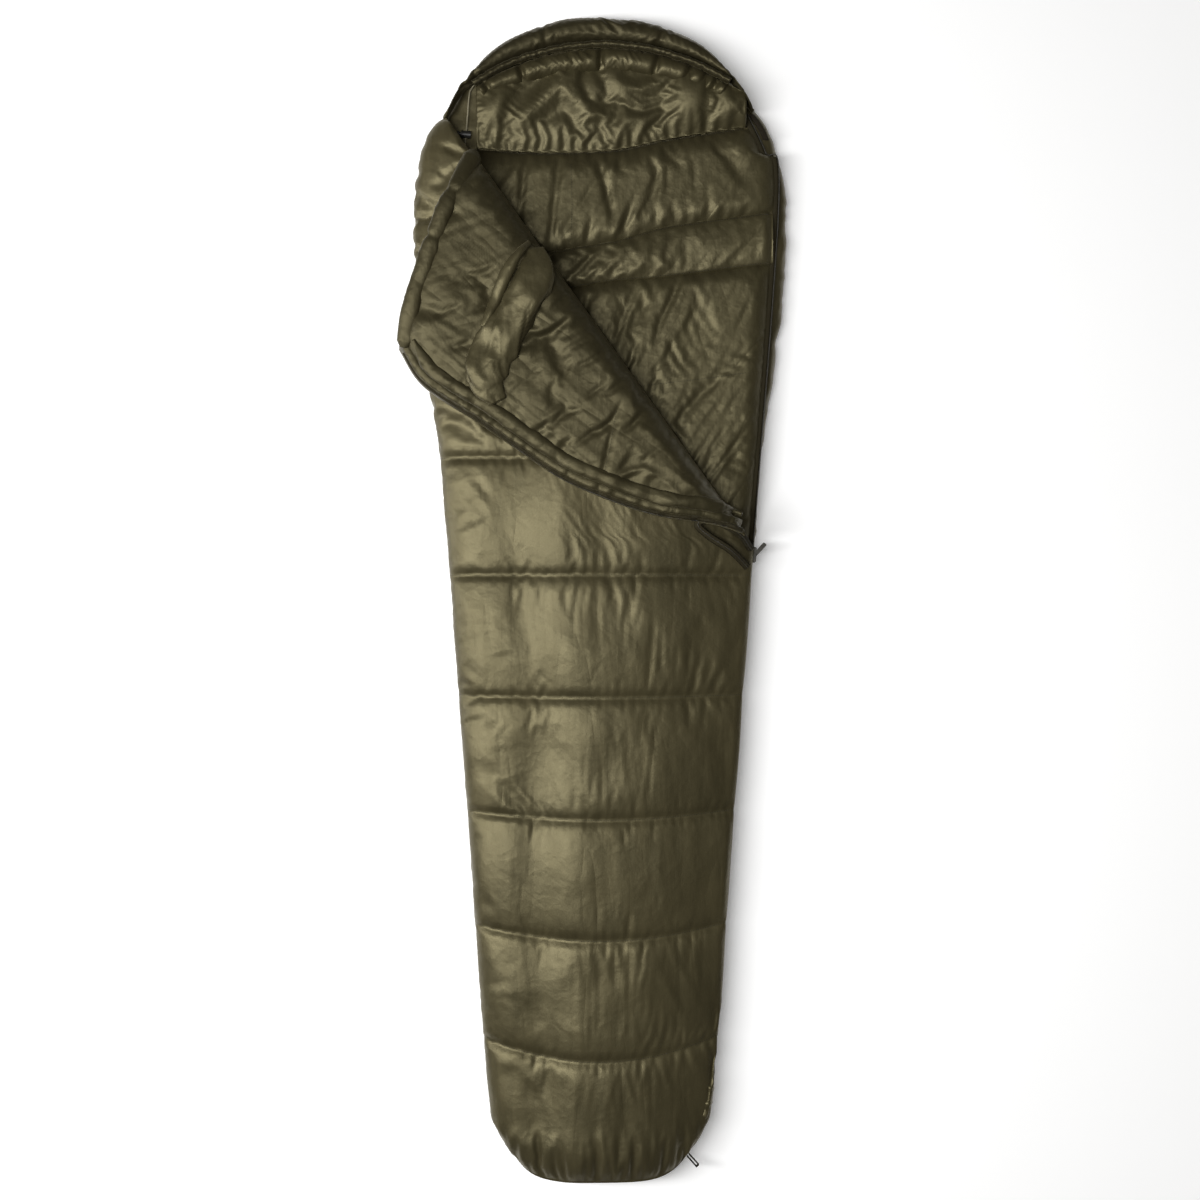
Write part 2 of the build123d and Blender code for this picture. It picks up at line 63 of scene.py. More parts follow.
OUTLINE = [
    (0.092, -1.098), (0.150, -1.070), (0.190, -1.003), (0.217, -0.900), (0.260, -0.330), (0.3045, 0.250),
    (0.329, 0.420), (0.349, 0.600), (0.353, 0.745), (0.333, 0.850), (0.298, 0.916), (0.258, 0.978),
    (0.187, 1.050), (0.084, 1.093), (0.0, 1.101),
]
QUILT_SEAMS = [-0.866, -0.640, -0.414, -0.185, 0.045, 0.265, 0.490, 0.715]
FRONT_END = 0.905
FOLD_A = np.array([-0.229, 0.820])
FOLD_B = np.array([0.278, 0.111])
FOLD_LENGTH = float(np.linalg.norm(FOLD_B - FOLD_A))
FOLD_DIR = (FOLD_B - FOLD_A) / FOLD_LENGTH
FOLD_OUT = np.array([-FOLD_DIR[1], FOLD_DIR[0]])
FOLD_GAP = 0.016  # how far past its own mirror image the flap lands when it is closed
BACK_MID_Z = 0.0185
FRONT_UNDER_Z = 0.058
LINING_UNDER_Z = 0.030
FLAP_HEM = [(-0.245, 0.838), (-0.270, 0.785), (-0.304, 0.716), (-0.357, 0.565), (-0.378, 0.468)]
FLAP_ZIP_EDGE = [
    (-0.378, 0.468), (-0.345, 0.412), (-0.304, 0.376), (-0.229, 0.329), (-0.155, 0.278), (-0.077, 0.225),
    (0.0, 0.190), (0.074, 0.163), (0.130, 0.150), (0.187, 0.143), (0.235, 0.133), (0.272, 0.119),
]
ZIP_LOW = np.array([0.212, -0.900])
ZIP_HIGH = np.array([0.337, 0.745])
ZIP_SHOULDER = np.array([0.311, 0.850])
ZIP_END = np.array([0.270, 0.935])
CHANNEL_C = np.array([0.004, 0.6026])
CHANNEL_R = 0.4494
COLLAR_C = np.array([0.003, 0.458])
COLLAR_R = 0.552
CORD_R = 0.0015
NECK_SEAM = [
    (-0.300, 0.862), (-0.206, 0.854), (-0.115, 0.849), (0.026, 0.854), (0.121, 0.873), (0.263, 0.896),
]

OLIVE = (0.047, 0.039, 0.019, 1.0)
OLIVE_DARK = (0.025, 0.021, 0.010, 1.0)
LINING = (0.040, 0.034, 0.0165, 1.0)
LINING_DARK = (0.024, 0.020, 0.0095, 1.0)
# Painted shade: a darker copy of the lining's colours, used on the flap's lining, which is the same cloth as
# the back's lining.
LINING_PAINTED_SHADE = (0.027, 0.0225, 0.0108, 1.0)
LINING_PAINTED_SHADE_DARK = (0.016, 0.0135, 0.0064, 1.0)
HOOD_OLIVE = (0.021, 0.0175, 0.0085, 1.0)
HOOD_OLIVE_DARK = (0.013, 0.0108, 0.0052, 1.0)


# ---- camera, light and floor ---------------------------------------------------------------
def set_inputs(node, **values):
    """Set a node's settings and plain inputs, with _ for each space in an input's name."""
    for key, value in values.items():
        if hasattr(node, key):
            setattr(node, key, value)
        else:
            node.inputs[key.replace("_", " ")].default_value = value


def make_camera():
    """Straight above the bag, at a distance and angle that show it whole."""
    data = bpy.data.cameras.new("camera")
    data.sensor_width = 36.0
    data.lens = data.sensor_width * (CAMERA_UP - FRONT_Z) / VIEW_WIDTH
    camera = bpy.data.objects.new("camera", data)
    camera.location = (CAMERA_X, CAMERA_Y, CAMERA_UP)
    bpy.context.collection.objects.link(camera)
    bpy.context.scene.camera = camera


def softbox(name, place, target, width, height, power):
    """A rectangular light, unseen itself, that faces target."""
    data = bpy.data.lights.new(name, "AREA")
    data.shape = "RECTANGLE"
    data.size, data.size_y = width, height
    data.energy = power
    lamp = bpy.data.objects.new(name, data)
    lamp.location = place
    lamp.rotation_euler = (Vector(target) - Vector(place)).to_track_quat("-Z", "Y").to_euler()
    lamp.visible_camera = False
    bpy.context.collection.objects.link(lamp)


def make_lights():
    """A strong strip of light from the left, two weak fills and a dim world."""
    softbox("key_light", (-1.95, -0.10, 4.1), (0.0, -0.10, 0.08), 0.8, 3.8, 215)
    softbox("side_light", (-2.6, 0.1, 0.9), (-0.2, -0.1, 0.06), 0.8, 2.4, 38)
    softbox("top_light", (0.1, 0.2, 4.6), (0.0, 0.0, 0.0), 3.6, 3.6, 16)
    world = bpy.data.worlds.new("world")
    world.use_nodes = True
    set_inputs(world.node_tree.nodes["Background"], Color=(1.0, 0.97, 0.90, 1.0), Strength=0.08)
    bpy.context.scene.world = world
    bpy.context.scene.view_settings.view_transform = "Standard"


def make_floor():
    """A white floor just under the bag."""
    mesh = bpy.data.meshes.new("floor")
    side = 12.0
    corners = [(-side, -side, 0), (side, -side, 0), (side, side, 0), (-side, side, 0)]
    mesh.from_pydata(corners, [], [(0, 1, 2, 3)])
    floor = bpy.data.objects.new("floor", mesh)
    floor.location.z = -0.002
    bpy.context.collection.objects.link(floor)
    material = bpy.data.materials.new("floor_white")
    material.use_nodes = True
    set_inputs(
        material.node_tree.nodes["Principled BSDF"],
        Base_Color=(0.93, 0.93, 0.93, 1.0), Roughness=0.9, Specular_IOR_Level=0.1,
        Emission_Color=(1.0, 1.0, 1.0, 1.0), Emission_Strength=0.22,
    )
    mesh.materials.append(material)


# ---- materials -----------------------------------------------------------------------------
class Nodes:
    """A short way to add and join nodes in one material."""

    def __init__(self, name):
        self.material = bpy.data.materials.new(name)
        self.material.use_nodes = True
        self.tree = self.material.node_tree
        self.shader = self.tree.nodes["Principled BSDF"]
        self.place = self.add("ShaderNodeTexCoord").outputs["Object"]

    def add(self, kind, **values):
        node = self.tree.nodes.new(kind)
        set_inputs(node, **values)
        return node

    def join(self, out, socket):
        self.tree.links.new(out, socket)

    def noise(self, scale, detail=3.0, rough=0.55, distort=0.0, place=None):
        """Noise on the object, or on other coordinates."""
        node = self.add("ShaderNodeTexNoise", Scale=scale, Detail=detail, Roughness=rough)
        node.inputs["Distortion"].default_value = distort
        self.join(place or self.place, node.inputs["Vector"])
        return node.outputs["Fac"]

    def ramp(self, fac, low, high, colour_low, colour_high):
        """A colour that goes from one to another as fac goes from low to high."""
        node = self.add("ShaderNodeValToRGB")
        first, last = node.color_ramp.elements
        first.position, first.color = low, colour_low
        last.position, last.color = high, colour_high
        self.join(fac, node.inputs["Fac"])
        return node.outputs["Color"]

    def maths(self, operation, a, b):
        """A sum on two values, each a number or another node's output."""
        node = self.add("ShaderNodeMath", operation=operation)
        for socket, value in zip(node.inputs, (a, b)):
            if isinstance(value, (int, float)):
                socket.default_value = value
            else:
                self.join(value, socket)
        return node.outputs["Value"]

    def mapped(self, place, **values):
        """Coordinates turned or scaled by a Mapping node."""
        node = self.add("ShaderNodeMapping", **values)
        self.join(place, node.inputs["Vector"])
        return node.outputs["Vector"]

    def crumple(self, scale):
        """Flat facets that meet at soft creases, like nylon that has been stuffed in a sack."""
        bent = self.add("ShaderNodeTexNoise", Scale=scale * 0.5, Detail=2.0)
        self.join(self.place, bent.inputs["Vector"])
        mix = self.add("ShaderNodeMix", data_type="VECTOR")
        mix.inputs[0].default_value = 0.06
        self.join(self.place, mix.inputs[4])
        self.join(bent.outputs["Color"], mix.inputs[5])
        cells = self.add("ShaderNodeTexVoronoi", feature="F1", Scale=scale)
        self.join(mix.outputs[1], cells.inputs["Vector"])
        return cells.outputs["Distance"]

    def pressed(self, turn, scale, stretch):
        """Thin sharp creases, longer along one direction."""
        turned = self.mapped(self.place, Rotation=(0.0, 0.0, math.radians(-turn)))
        place = self.mapped(turned, Scale=(scale / stretch, scale, scale))
        wave = self.noise(1.0, 2.0, 0.45, 0.3, place)
        return self.maths("ABSOLUTE", self.maths("SUBTRACT", wave, 0.5), 0.0)

    def threads(self, pitch):
        """A plain weave: two sets of threads, pitch apart."""
        sets = []
        for direction in ("X", "Y"):
            wave = self.add("ShaderNodeTexWave", wave_type="BANDS", bands_direction=direction)
            set_inputs(wave, Scale=0.314 / pitch, Distortion=0.4, Detail_Scale=2.0)
            self.join(self.place, wave.inputs["Vector"])
            sets.append(wave.outputs["Fac"])
        return self.maths("MULTIPLY", *sets)

    def bump(self, *heights):
        """Bumps one after another; each is (height, strength, distance)."""
        normal = None
        for height, strength, distance in heights:
            node = self.add("ShaderNodeBump", Strength=strength, Distance=distance)
            self.join(height, node.inputs["Height"])
            if normal is not None:
                self.join(normal, node.inputs["Normal"])
            normal = node.outputs["Normal"]
        self.join(normal, self.shader.inputs["Normal"])


def cloth_material(name, colour, dark, rough, crinkle, turn, shine=0.7):
    """Satin nylon: patches of tone, streaks along the cloth, fine crinkles and a plain weave."""
    n = Nodes(name)
    streaks = n.noise(1.0, 4.0, 0.6, 0.2, n.mapped(n.place, Scale=(46.0, 7.0, 30.0)))
    broad = n.maths("MULTIPLY", n.noise(4.5, 4.0, 0.6), 0.6)
    patches = n.maths("ADD", broad, n.maths("MULTIPLY", streaks, 0.4))
    n.join(n.ramp(patches, 0.36, 0.66, dark, colour), n.shader.inputs["Base Color"])
    span = n.add("ShaderNodeMapRange", To_Min=rough - 0.08, To_Max=rough + 0.09)
    n.join(streaks, span.inputs["Value"])
    n.join(span.outputs["Result"], n.shader.inputs["Roughness"])
    set_inputs(
        n.shader, Specular_IOR_Level=shine, Specular_Tint=(0.93, 0.82, 0.48, 1.0),
        Sheen_Weight=0.15, Sheen_Roughness=0.4, Sheen_Tint=(0.55, 0.48, 0.28, 1.0),
    )
    n.bump(
        (n.pressed(turn, 17.0, 4.5), crinkle * 1.6, 0.010),
        (n.pressed(turn + 50, 26.0, 3.5), crinkle * 0.9, 0.005),
        (n.crumple(17.0), crinkle * 0.8, 0.006),
        (n.crumple(46.0), crinkle * 0.8, 0.002),
        (n.noise(24.0, 4.0, 0.6, 0.3), crinkle * 0.6, 0.005),
        (streaks, crinkle, 0.0022),
        (n.noise(130.0, 2.0, 0.5, 0.3), crinkle * 0.5, 0.0007),
        (n.threads(0.0008), 0.12, 0.0002),
    )
    return n.material


def plain_material(name, colour, rough, metallic=0.0):
    """One colour, a little worn, with a fine grain."""
    n = Nodes(name)
    worn = tuple(min(1.0, c * 1.5 + 0.004) for c in colour[:3]) + (1.0,)
    n.join(n.ramp(n.noise(90.0), 0.35, 0.75, colour, worn), n.shader.inputs["Base Color"])
    set_inputs(n.shader, Roughness=rough, Metallic=metallic)
    n.bump((n.noise(400.0), 0.3, 0.0001))
    return n.material


def webbing_material(name, colour, dark, pitch):
    """Matt woven tape, webbing or cord, its threads pitch apart."""
    n = Nodes(name)
    set_inputs(n.shader, Specular_IOR_Level=0.2, Specular_Tint=(0.95, 0.85, 0.6, 1.0), Roughness=0.7)
    weave = n.threads(pitch)
    n.join(n.ramp(weave, 0.2, 0.8, dark, colour), n.shader.inputs["Base Color"])
    n.bump((weave, 0.6, 0.0004), (n.noise(200.0), 0.3, 0.0002))
    return n.material


# ---- shapes in numpy -----------------------------------------------------------------------
def smooth_noise(x, y, seed):
    """Smooth noise from -1 to 1, one random value per unit square."""
    values = np.random.default_rng(seed).uniform(-1.0, 1.0, (64, 64))
    xi, yi = np.floor(x).astype(int), np.floor(y).astype(int)
    fx, fy = x - xi, y - yi
    fx, fy = fx * fx * (3 - 2 * fx), fy * fy * (3 - 2 * fy)

    def at(i, j):
        return values[(xi + i) % 64, (yi + j) % 64]

    low = at(0, 0) * (1 - fx) + at(1, 0) * fx
    high = at(0, 1) * (1 - fx) + at(1, 1) * fx
    return low * (1 - fy) + high * fy


def creases(x, y, angle, length, width, seed):
    """Long ridges that run at this angle, from -1 to 1, sharp at the top."""
    a = math.radians(angle)
    along = (x * math.cos(a) + y * math.sin(a)) / length
    across = (-x * math.sin(a) + y * math.cos(a)) / width
    across = across + 0.6 * smooth_noise(along * 1.3, across * 0.3, seed + 1)
    ridge = 1.0 - 2.0 * np.abs(smooth_noise(along, across, seed))
    strength = 0.55 + 0.45 * smooth_noise(along * 0.8 + 7.3, across * 0.35, seed + 2)
    return ridge * strength


def curve_through(points, count):
    """A Catmull-Rom curve through points, count samples evenly spaced along it."""
    p = np.asarray(points, float)
    p = np.vstack([2 * p[0] - p[1], p, 2 * p[-1] - p[-2]])
    t = np.linspace(0, 1, 25)[:-1, None]
    runs = []
    for a, b, c, d in zip(p, p[1:], p[2:], p[3:]):
        square, cube = 2 * a - 5 * b + 4 * c - d, 3 * b - a - 3 * c + d
        runs.append(0.5 * (2 * b + (c - a) * t + square * t**2 + cube * t**3))
    dense = np.vstack([*runs, p[-2]])
    return resample(dense, count)


def travel(line):
    """How far along a polyline each of its points is."""
    return np.concatenate([[0], np.cumsum(np.linalg.norm(np.diff(line, axis=0), axis=1))])


def resample(line, count):
    """count points evenly spaced along a polyline of shape (n, k)."""
    travelled = travel(line)
    want = np.linspace(0, travelled[-1], count)
    return np.stack([np.interp(want, travelled, line[:, k]) for k in range(line.shape[1])], axis=1)


outline_line = curve_through(OUTLINE, 900)


def half_width(y):
    """Half the bag's width at y."""
    return np.interp(y, outline_line[:, 1], outline_line[:, 0])


def zip_line(count):
    """The zip in plan: its straight part and its bend at the shoulder."""
    return curve_through([ZIP_LOW, (ZIP_LOW + ZIP_HIGH) / 2, ZIP_HIGH, ZIP_SHOULDER, ZIP_END], count)


def bell(values, middle, width):
    """1 where values are at middle, falling away over width."""
    return np.exp(-(((values - middle) / width) ** 2))


def unit(vectors):
    """The same vectors, each of length 1."""
    return vectors / np.maximum(np.linalg.norm(vectors, axis=-1, keepdims=True), 1e-12)


def smoothed(values, reach):
    """Mean of each value and its reach neighbours on both sides."""
    window = 2 * reach + 1
    return np.convolve(np.pad(values, reach, mode="edge"), np.ones(window) / window, "valid")


def ridges(x, y, lines):
    """Folds, listed one by one: each is (height, width, points along its crest)."""
    total = np.zeros(np.broadcast(x, y).shape)
    for height, width, points in lines:
        crest = curve_through(points, 48)
        near = np.full(total.shape, 1e9)
        place = np.zeros(total.shape)
        for k, (cx, cy) in enumerate(crest):
            away = (x - cx) ** 2 + (y - cy) ** 2
            place = np.where(away < near, k / 47, place)
            near = np.minimum(near, away)
        total += height * np.exp(-near / width**2) * np.sin(math.pi * np.clip(place, 0.03, 0.97)) ** 0.4
    return total


def height_on(grid, points):
    """Height of the nearest point of a cloth grid under each plan point."""
    flat = grid.reshape(-1, 3)
    found = []
    for point in points:
        away = (flat[:, 0] - point[0]) ** 2 + (flat[:, 1] - point[1]) ** 2
        found.append(flat[np.argmin(away), 2])
    return np.array(found)


def moved_in(line, inset):
    """A plan line moved to its left by inset."""
    along = unit(np.gradient(line, axis=0))
    return line + np.stack([-along[:, 1], along[:, 0]], 1) * inset


def grid_normals(points):
    """Unit normals of a grid of points."""
    return unit(np.cross(np.gradient(points, axis=1), np.gradient(points, axis=0)))


def sewn(shape, cols=(0, -1), rows=(0, -1)):
    """True at the points of a cloth grid that are sewn down: these columns and rows."""
    held = np.zeros(shape, bool)
    held[:, list(cols)] = True
    held[list(rows)] = True
    return held


def raised(base, held, lift, normal=(0.0, 0.0, 1.0)):
    """The grid moved by lift along normal, apart from its held points."""
    return base + (np.where(held, 0, 1) * lift)[..., None] * normal


def grid_pairs(rows, cols, dr, dc):
    """Slices of all point pairs (dr, dc) apart, in groups in which no point appears twice."""
    step = 2 * dr if dr else 2 * dc
    for k in range(step):
        if dr:
            a_cols = slice(max(0, -dc), cols - max(0, dc))
            b_cols = slice(max(0, dc), cols - max(0, -dc))
            yield (slice(k, rows - dr, step), a_cols), (slice(k + dr, rows, step), b_cols)
        else:
            yield (slice(None), slice(k, cols - dc, step)), (slice(None), slice(k + dc, cols, step))


def relax(base, start, held, grow_u, grow_v, steps, puff=0.0, low=-0.004, high=0.02, bend=0.15):
    """Cloth solver on a grid. The cloth is larger than base by grow_u along its rows and grow_v
    across them. Held points stay, puff blows the rest up, and it stays from low to high off base."""
    cloth = start.copy()
    before = cloth.copy()
    normal = grid_normals(base)
    free = np.where(held, 0.0, 1.0)
    grow_u = np.broadcast_to(grow_u, free.shape)
    grow_v = np.broadcast_to(grow_v, free.shape)
    links = []
    kinds = [(0, 1, grow_u, 1.0), (1, 0, grow_v, 1.0)]
    kinds += [(1, 1, (grow_u + grow_v) / 2, 0.4), (1, -1, (grow_u + grow_v) / 2, 0.4)]
    kinds += [(0, 2, grow_u, bend), (2, 0, grow_v, bend)]
    for dr, dc, grow, stiff in kinds:
        for a, b in grid_pairs(*free.shape, dr, dc):
            rest = np.linalg.norm(base[b] - base[a], axis=-1) * (1 + (grow[a] + grow[b]) / 2)
            share = stiff / np.maximum(free[a] + free[b], 1e-9)
            links.append((a, b, rest, share * free[a], share * free[b]))
    for _ in range(steps):
        move = (cloth - before) * 0.8
        before = cloth.copy()
        cloth += free[..., None] * (move + puff * normal)
        for a, b, rest, share_a, share_b in links:
            gap = cloth[b] - cloth[a]
            size = np.sqrt((gap * gap).sum(-1)) + 1e-12
            pull = (size - rest) / size
            cloth[a] += (share_a * pull)[..., None] * gap
            cloth[b] -= (share_b * pull)[..., None] * gap
        off = ((cloth - base) * normal).sum(-1)
        cloth += ((np.clip(off, low, high) - off) * 0.5 * free)[..., None] * normal
    return cloth


def soften(points, held):
    """Smooth a grid a little, leaving held points."""
    free = np.where(held, 0.0, 0.5)[..., None]
    padded = np.pad(points, ((1, 1), (1, 1), (0, 0)), mode="edge")
    mean = (padded[:-2, 1:-1] + padded[2:, 1:-1] + padded[1:-1, :-2] + padded[1:-1, 2:]) / 4
    return points + free * (mean - points)


# ---- meshes --------------------------------------------------------------------------------
def declare(piece, slot, *nodes, padding=None):
    """Hide the CAD nodes that a piece replaces; its slot and its padding are not used."""
    if nodes:
        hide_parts(*nodes)


def new_object(name, verts, faces, material, body):
    """A smooth mesh object that rides on a body, if one is given."""
    mesh = bpy.data.meshes.new(name)
    mesh.from_pydata(np.asarray(verts).tolist(), [], [tuple(f) for f in faces])
    mesh.validate()
    mesh.polygons.foreach_set("use_smooth", np.ones(len(mesh.polygons), bool))
    mesh.materials.append(material)
    obj = bpy.data.objects.new(name, mesh)
    bpy.context.collection.objects.link(obj)
    if body is not None:
        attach(obj, body)
    return obj


def quad_faces(rows, cols, wrap):
    """Quads between the rows of a grid; wrap joins its last column to its first."""
    r, c = np.meshgrid(np.arange(rows - 1), np.arange(cols if wrap else cols - 1), indexing="ij")
    n = (c + 1) % cols
    return np.stack([r * cols + c, r * cols + n, (r + 1) * cols + n, (r + 1) * cols + c], -1).reshape(-1, 4)


def inside_out(verts, faces):
    """True if the quads' normals point into the solid."""
    a, b, c, d = (verts[faces[:, k]] for k in range(4))
    return (np.cross(b - a, c - a) * a).sum() + (np.cross(c - a, d - a) * a).sum() < 0


def tube(name, rings, material, body):
    """A closed form from rings of points, shape (rings, points, 3), its two ends capped."""
    rows, count = rings.shape[:2]
    verts = rings.reshape(-1, 3)
    faces = quad_faces(rows, count, True)
    if inside_out(verts, faces):
        verts = rings[:, ::-1].reshape(-1, 3)
    first = list(range(count))[::-1]
    last = list(range((rows - 1) * count, rows * count))
    return new_object(name, verts, [*faces.tolist(), first, last], material, body)


def end_strip(start, cols, count):
    """Triangles that close one end of a pad, from its top row down to its underside's row."""
    share = np.round(np.linspace(0, count - 1, cols)).astype(int)
    under = start + cols + count - 1 - share
    faces = []
    for k in range(cols - 1):
        faces.append([start + k, start + k + 1, under[k]])
        if under[k + 1] != under[k]:
            faces.append([start + k + 1, under[k + 1], under[k]])
    return faces


def pad(name, top, under, material, body):
    """A closed pad: a top grid and an underside with the same rows, joined at the edges."""
    rows, cols = top.shape[:2]
    rings = np.concatenate([top, under[:, ::-1]], axis=1)
    count = rings.shape[1]
    verts = rings.reshape(-1, 3)
    faces = quad_faces(rows, count, True)
    first = end_strip(0, cols, under.shape[1])
    last = [face[::-1] for face in end_strip((rows - 1) * count, cols, under.shape[1])]
    faces = [*faces.tolist(), *first, *last]
    if inside_out(verts, quad_faces(rows, count, True)):
        faces = [face[::-1] for face in faces]
    return new_object(name, verts, faces, material, body)


def flat_under(top, z, count=14, inset=0.004):
    """An underside for a top grid, at height z and just inside its edges."""
    t = np.linspace(0.0, 1.0, count)[None, :, None]
    left, right = top[:, :1], top[:, -1:]
    across = right - left
    size = np.maximum(np.linalg.norm(across[..., :2], axis=-1, keepdims=True), 1e-6)
    step = across / size * np.minimum(inset, size * 0.2)
    under = (left + step) * (1 - t) + (right - step) * t
    under[..., 2] = z
    return under


def sweep(path, radius, count=10, flat=1.0):
    """Rings round a 3-D path. radius may vary along it; flat squashes the section's height."""
    along = unit(np.gradient(path, axis=0))
    side = unit(np.cross(along, (0.0, 0.0, 1.0)))
    up = np.cross(side, along)
    angle = np.linspace(0, 2 * math.pi, count, endpoint=False)[:, None]
    radius = np.broadcast_to(radius, len(path))[:, None, None]
    ring = side[:, None] * np.cos(angle) + up[:, None] * np.sin(angle) * flat
    return path[:, None] + ring * radius


def stitches(name, lines, material, body):
    """Short thread stitches along 3-D lines, as one object."""
    pitch, length, radius = 0.0045, 0.003, 0.0004
    lift = np.array([0.0004, 0.0010, 0.0004])
    verts, faces = [], []
    for line in lines:
        centres = resample(line, max(2, int(travel(line)[-1] / pitch)))
        for centre, along in zip(centres, unit(np.gradient(centres, axis=0))):
            ends = np.stack([centre - along * length / 2, centre, centre + along * length / 2])
            ends[:, 2] += lift
            ring = sweep(ends, np.array([0.5, 1.0, 0.5]) * radius, 5)
            base = len(verts)
            verts.extend(ring.reshape(-1, 3))
            faces.extend((quad_faces(3, 5, True) + base).tolist())
            faces.append([base + k for k in range(4, -1, -1)])
            faces.append([base + 10 + k for k in range(5)])
    return new_object(name, verts, faces, material, body)


# ---- back of the bag -----------------------------------------------------------------------
def seam_closeness(y, reach):
    """1 on a quilting seam and 0 further than reach from it."""
    near = np.min([np.abs(y - s) for s in QUILT_SEAMS], axis=0)
    return np.clip(1 - near / reach, 0, 1)


def rim_bulge(y):
    """How far the shell swells out past the outline, at the zip side of the shoulder."""
    return 0.008 * bell(y, 0.898, 0.042)


def back_body(material):
    """The back's padded shell: flat underneath, rounded and scalloped at its sides."""
    ys = resample(outline_line[:, ::-1], 330)[:, 0]
    ys[0] += 0.002
    angle = np.linspace(-math.pi / 2, math.pi / 2, 15)
    rings = []
    for y in ys:
        pinch = seam_closeness(y, 0.05) ** 2
        width = half_width(y) - 0.005 * pinch
        end = min(1.0, (y + 1.100) / 0.06, (1.103 - y) / 0.05)
        half_h = (BACK_MID_Z - 0.004 * pinch) * math.sqrt(max(0.02, 1 - (1 - end) ** 2))
        roll = min(0.024, width * 0.5)
        side_x = width - roll + roll * np.cos(angle)
        side_z = BACK_MID_Z + half_h * np.sin(angle)
        side_z[side_z > 0.03] += 0.001 * (1 - pinch)
        inner = np.linspace(1, -1, 22)[1:-1] * (width - roll)
        top = np.stack([inner, np.full(20, side_z[-1])], 1)
        low = np.stack([inner[::-1], np.full(20, side_z[0] + 0.003 * pinch)], 1)
        right = np.stack([side_x, side_z], 1)
        left = right[::-1] * (-1, 1)
        right = right + (rim_bulge(y), 0)
        loop = np.vstack([right, top, left, low])
        rings.append(np.column_stack([loop[:, 0], np.full(len(loop), y), loop[:, 1]]))
    rings = np.array(rings)
    x, y, z = rings[..., 0], rings[..., 1], rings[..., 2]
    wobble = 0.0016 * smooth_noise(x * 14, y * 30 + z * 60, 11)
    wobble += 0.0012 * smooth_noise(x * 40, y * 70, 12)
    rings[..., 0] += wobble * np.sign(x) * (np.abs(x) > 0.03)
    rings[..., 2] += np.where(z > 0.004, wobble, 0.0)
    obj = tube("back_shell_cloth", rings, material, "bag")
    hood = ("hood_back_shell", "hood_back_insulation")
    declare(obj, "shell_cloth", "back_shell", "back_insulation", *hood, padding=0.4)


def side_walls(material):
    """The soft strips that join front and back: down the left side, and round the foot."""
    side_y = np.linspace(0.845, -0.895, 240)
    left = np.column_stack([-half_width(side_y) + 0.010, side_y, np.full(240, 0.0405)])
    foot_y = resample(outline_line[outline_line[:, 1] < -0.893][:, ::-1], 70)[::-1, 0]
    foot = np.column_stack([half_width(foot_y) - 0.008, foot_y + 0.0075, np.full(70, 0.0445)])
    foot = np.vstack([foot * (-1, 1, 1), foot[::-1]])
    foot = resample(foot, 200)
    side = crumpled_tube("left_side_cloth", left, 0.0085, 2.1, 70, 0.0014, 15, material, "bag", 20)
    declare(side, "shell_cloth", "left_side_seam", "left_shoulder_seam", padding=0.4)
    t = np.linspace(0, 1, 200)
    thick = 0.0085 * np.clip(np.minimum(t, 1 - t) / 0.05, 0.35, 1)
    end = crumpled_tube("foot_panel_cloth", foot, thick, 2.6, 80, 0.0018, 16, material, "bag", 20)
    declare(end, "shell_cloth", "foot_panel", padding=0.4)


# ---- quilted front -------------------------------------------------------------------------
def front_edge_x(y):
    """Right edge of the front: the zip side, or the fold above it."""
    fold = FOLD_A[0] + (FOLD_A[1] - y) * FOLD_DIR[0] / -FOLD_DIR[1]
    return np.minimum(half_width(y), fold)


def front_rows():
    """Each row of the front's cloth: its station, how far through its channel, if on a seam."""
    stops = [-1.0965, *QUILT_SEAMS, FRONT_END]
    rows = []
    for low, high in zip(stops, stops[1:]):
        count = max(8, int((high - low) / 0.0056))
        for k in range(count):
            rows.append((low + (high - low) * k / count, k / count, k == 0))
    rows.append((FRONT_END, 1.0, True))
    return rows


def front_section(station, through):
    """One row of the front before its cloth is relaxed."""
    bow = 0.055 * max(0.0, -station - 0.10)
    power = 2 + 3 * np.clip((-station - 0.87) / 0.22, 0, 1)
    edge_y = station + bow
    width = half_width(edge_y)
    swell = math.sin(math.pi * min(max(through, 0.0), 1.0)) ** 0.5
    width = width - 0.001 - 0.003 * (1 - swell)
    end = np.clip((station + 1.103) / 0.085, 0.0, 1.0)
    rise = (0.0432 + 0.0018 * swell) * (0.35 + 0.65 * math.sqrt(1 - (1 - end) ** 2))
    angle = np.linspace(math.pi * 1.13, -math.pi * 0.13, 260)
    cos, sin = np.cos(angle), np.sin(angle)
    x = width * np.sign(cos) * np.abs(cos) ** 0.78
    u = x / width
    wander = u + 0.05 * math.sin(station * 4.1) + 0.03 * math.sin(station * 11.3 + 1.0)
    lean = 0.09 * bell(wander, -0.18, 0.19) - 0.15 * bell(wander, -0.52, 0.17)
    lean = lean - 0.86 * np.clip((u - 0.02) / 0.98, 0, 1) ** 1.7
    under_edge = np.abs(sin) / math.sin(math.pi * 0.13)
    z = FRONT_Z + np.where(sin > 0, rise * (1 + lean) * np.abs(sin) ** 0.86, -0.016 * under_edge)
    tuck = np.where(x > 0, 0.016, 0.010)
    x = np.where(sin > 0, x, np.sign(x) * (width - tuck * under_edge**2))
    y = station + bow * np.abs(x / width) ** power
    line = np.stack([x, y, z], 1)
    limit = front_edge_x(edge_y)
    if limit < width - 0.002:
        line = line[line[:, 0] < limit]
    return resample(line, 140)


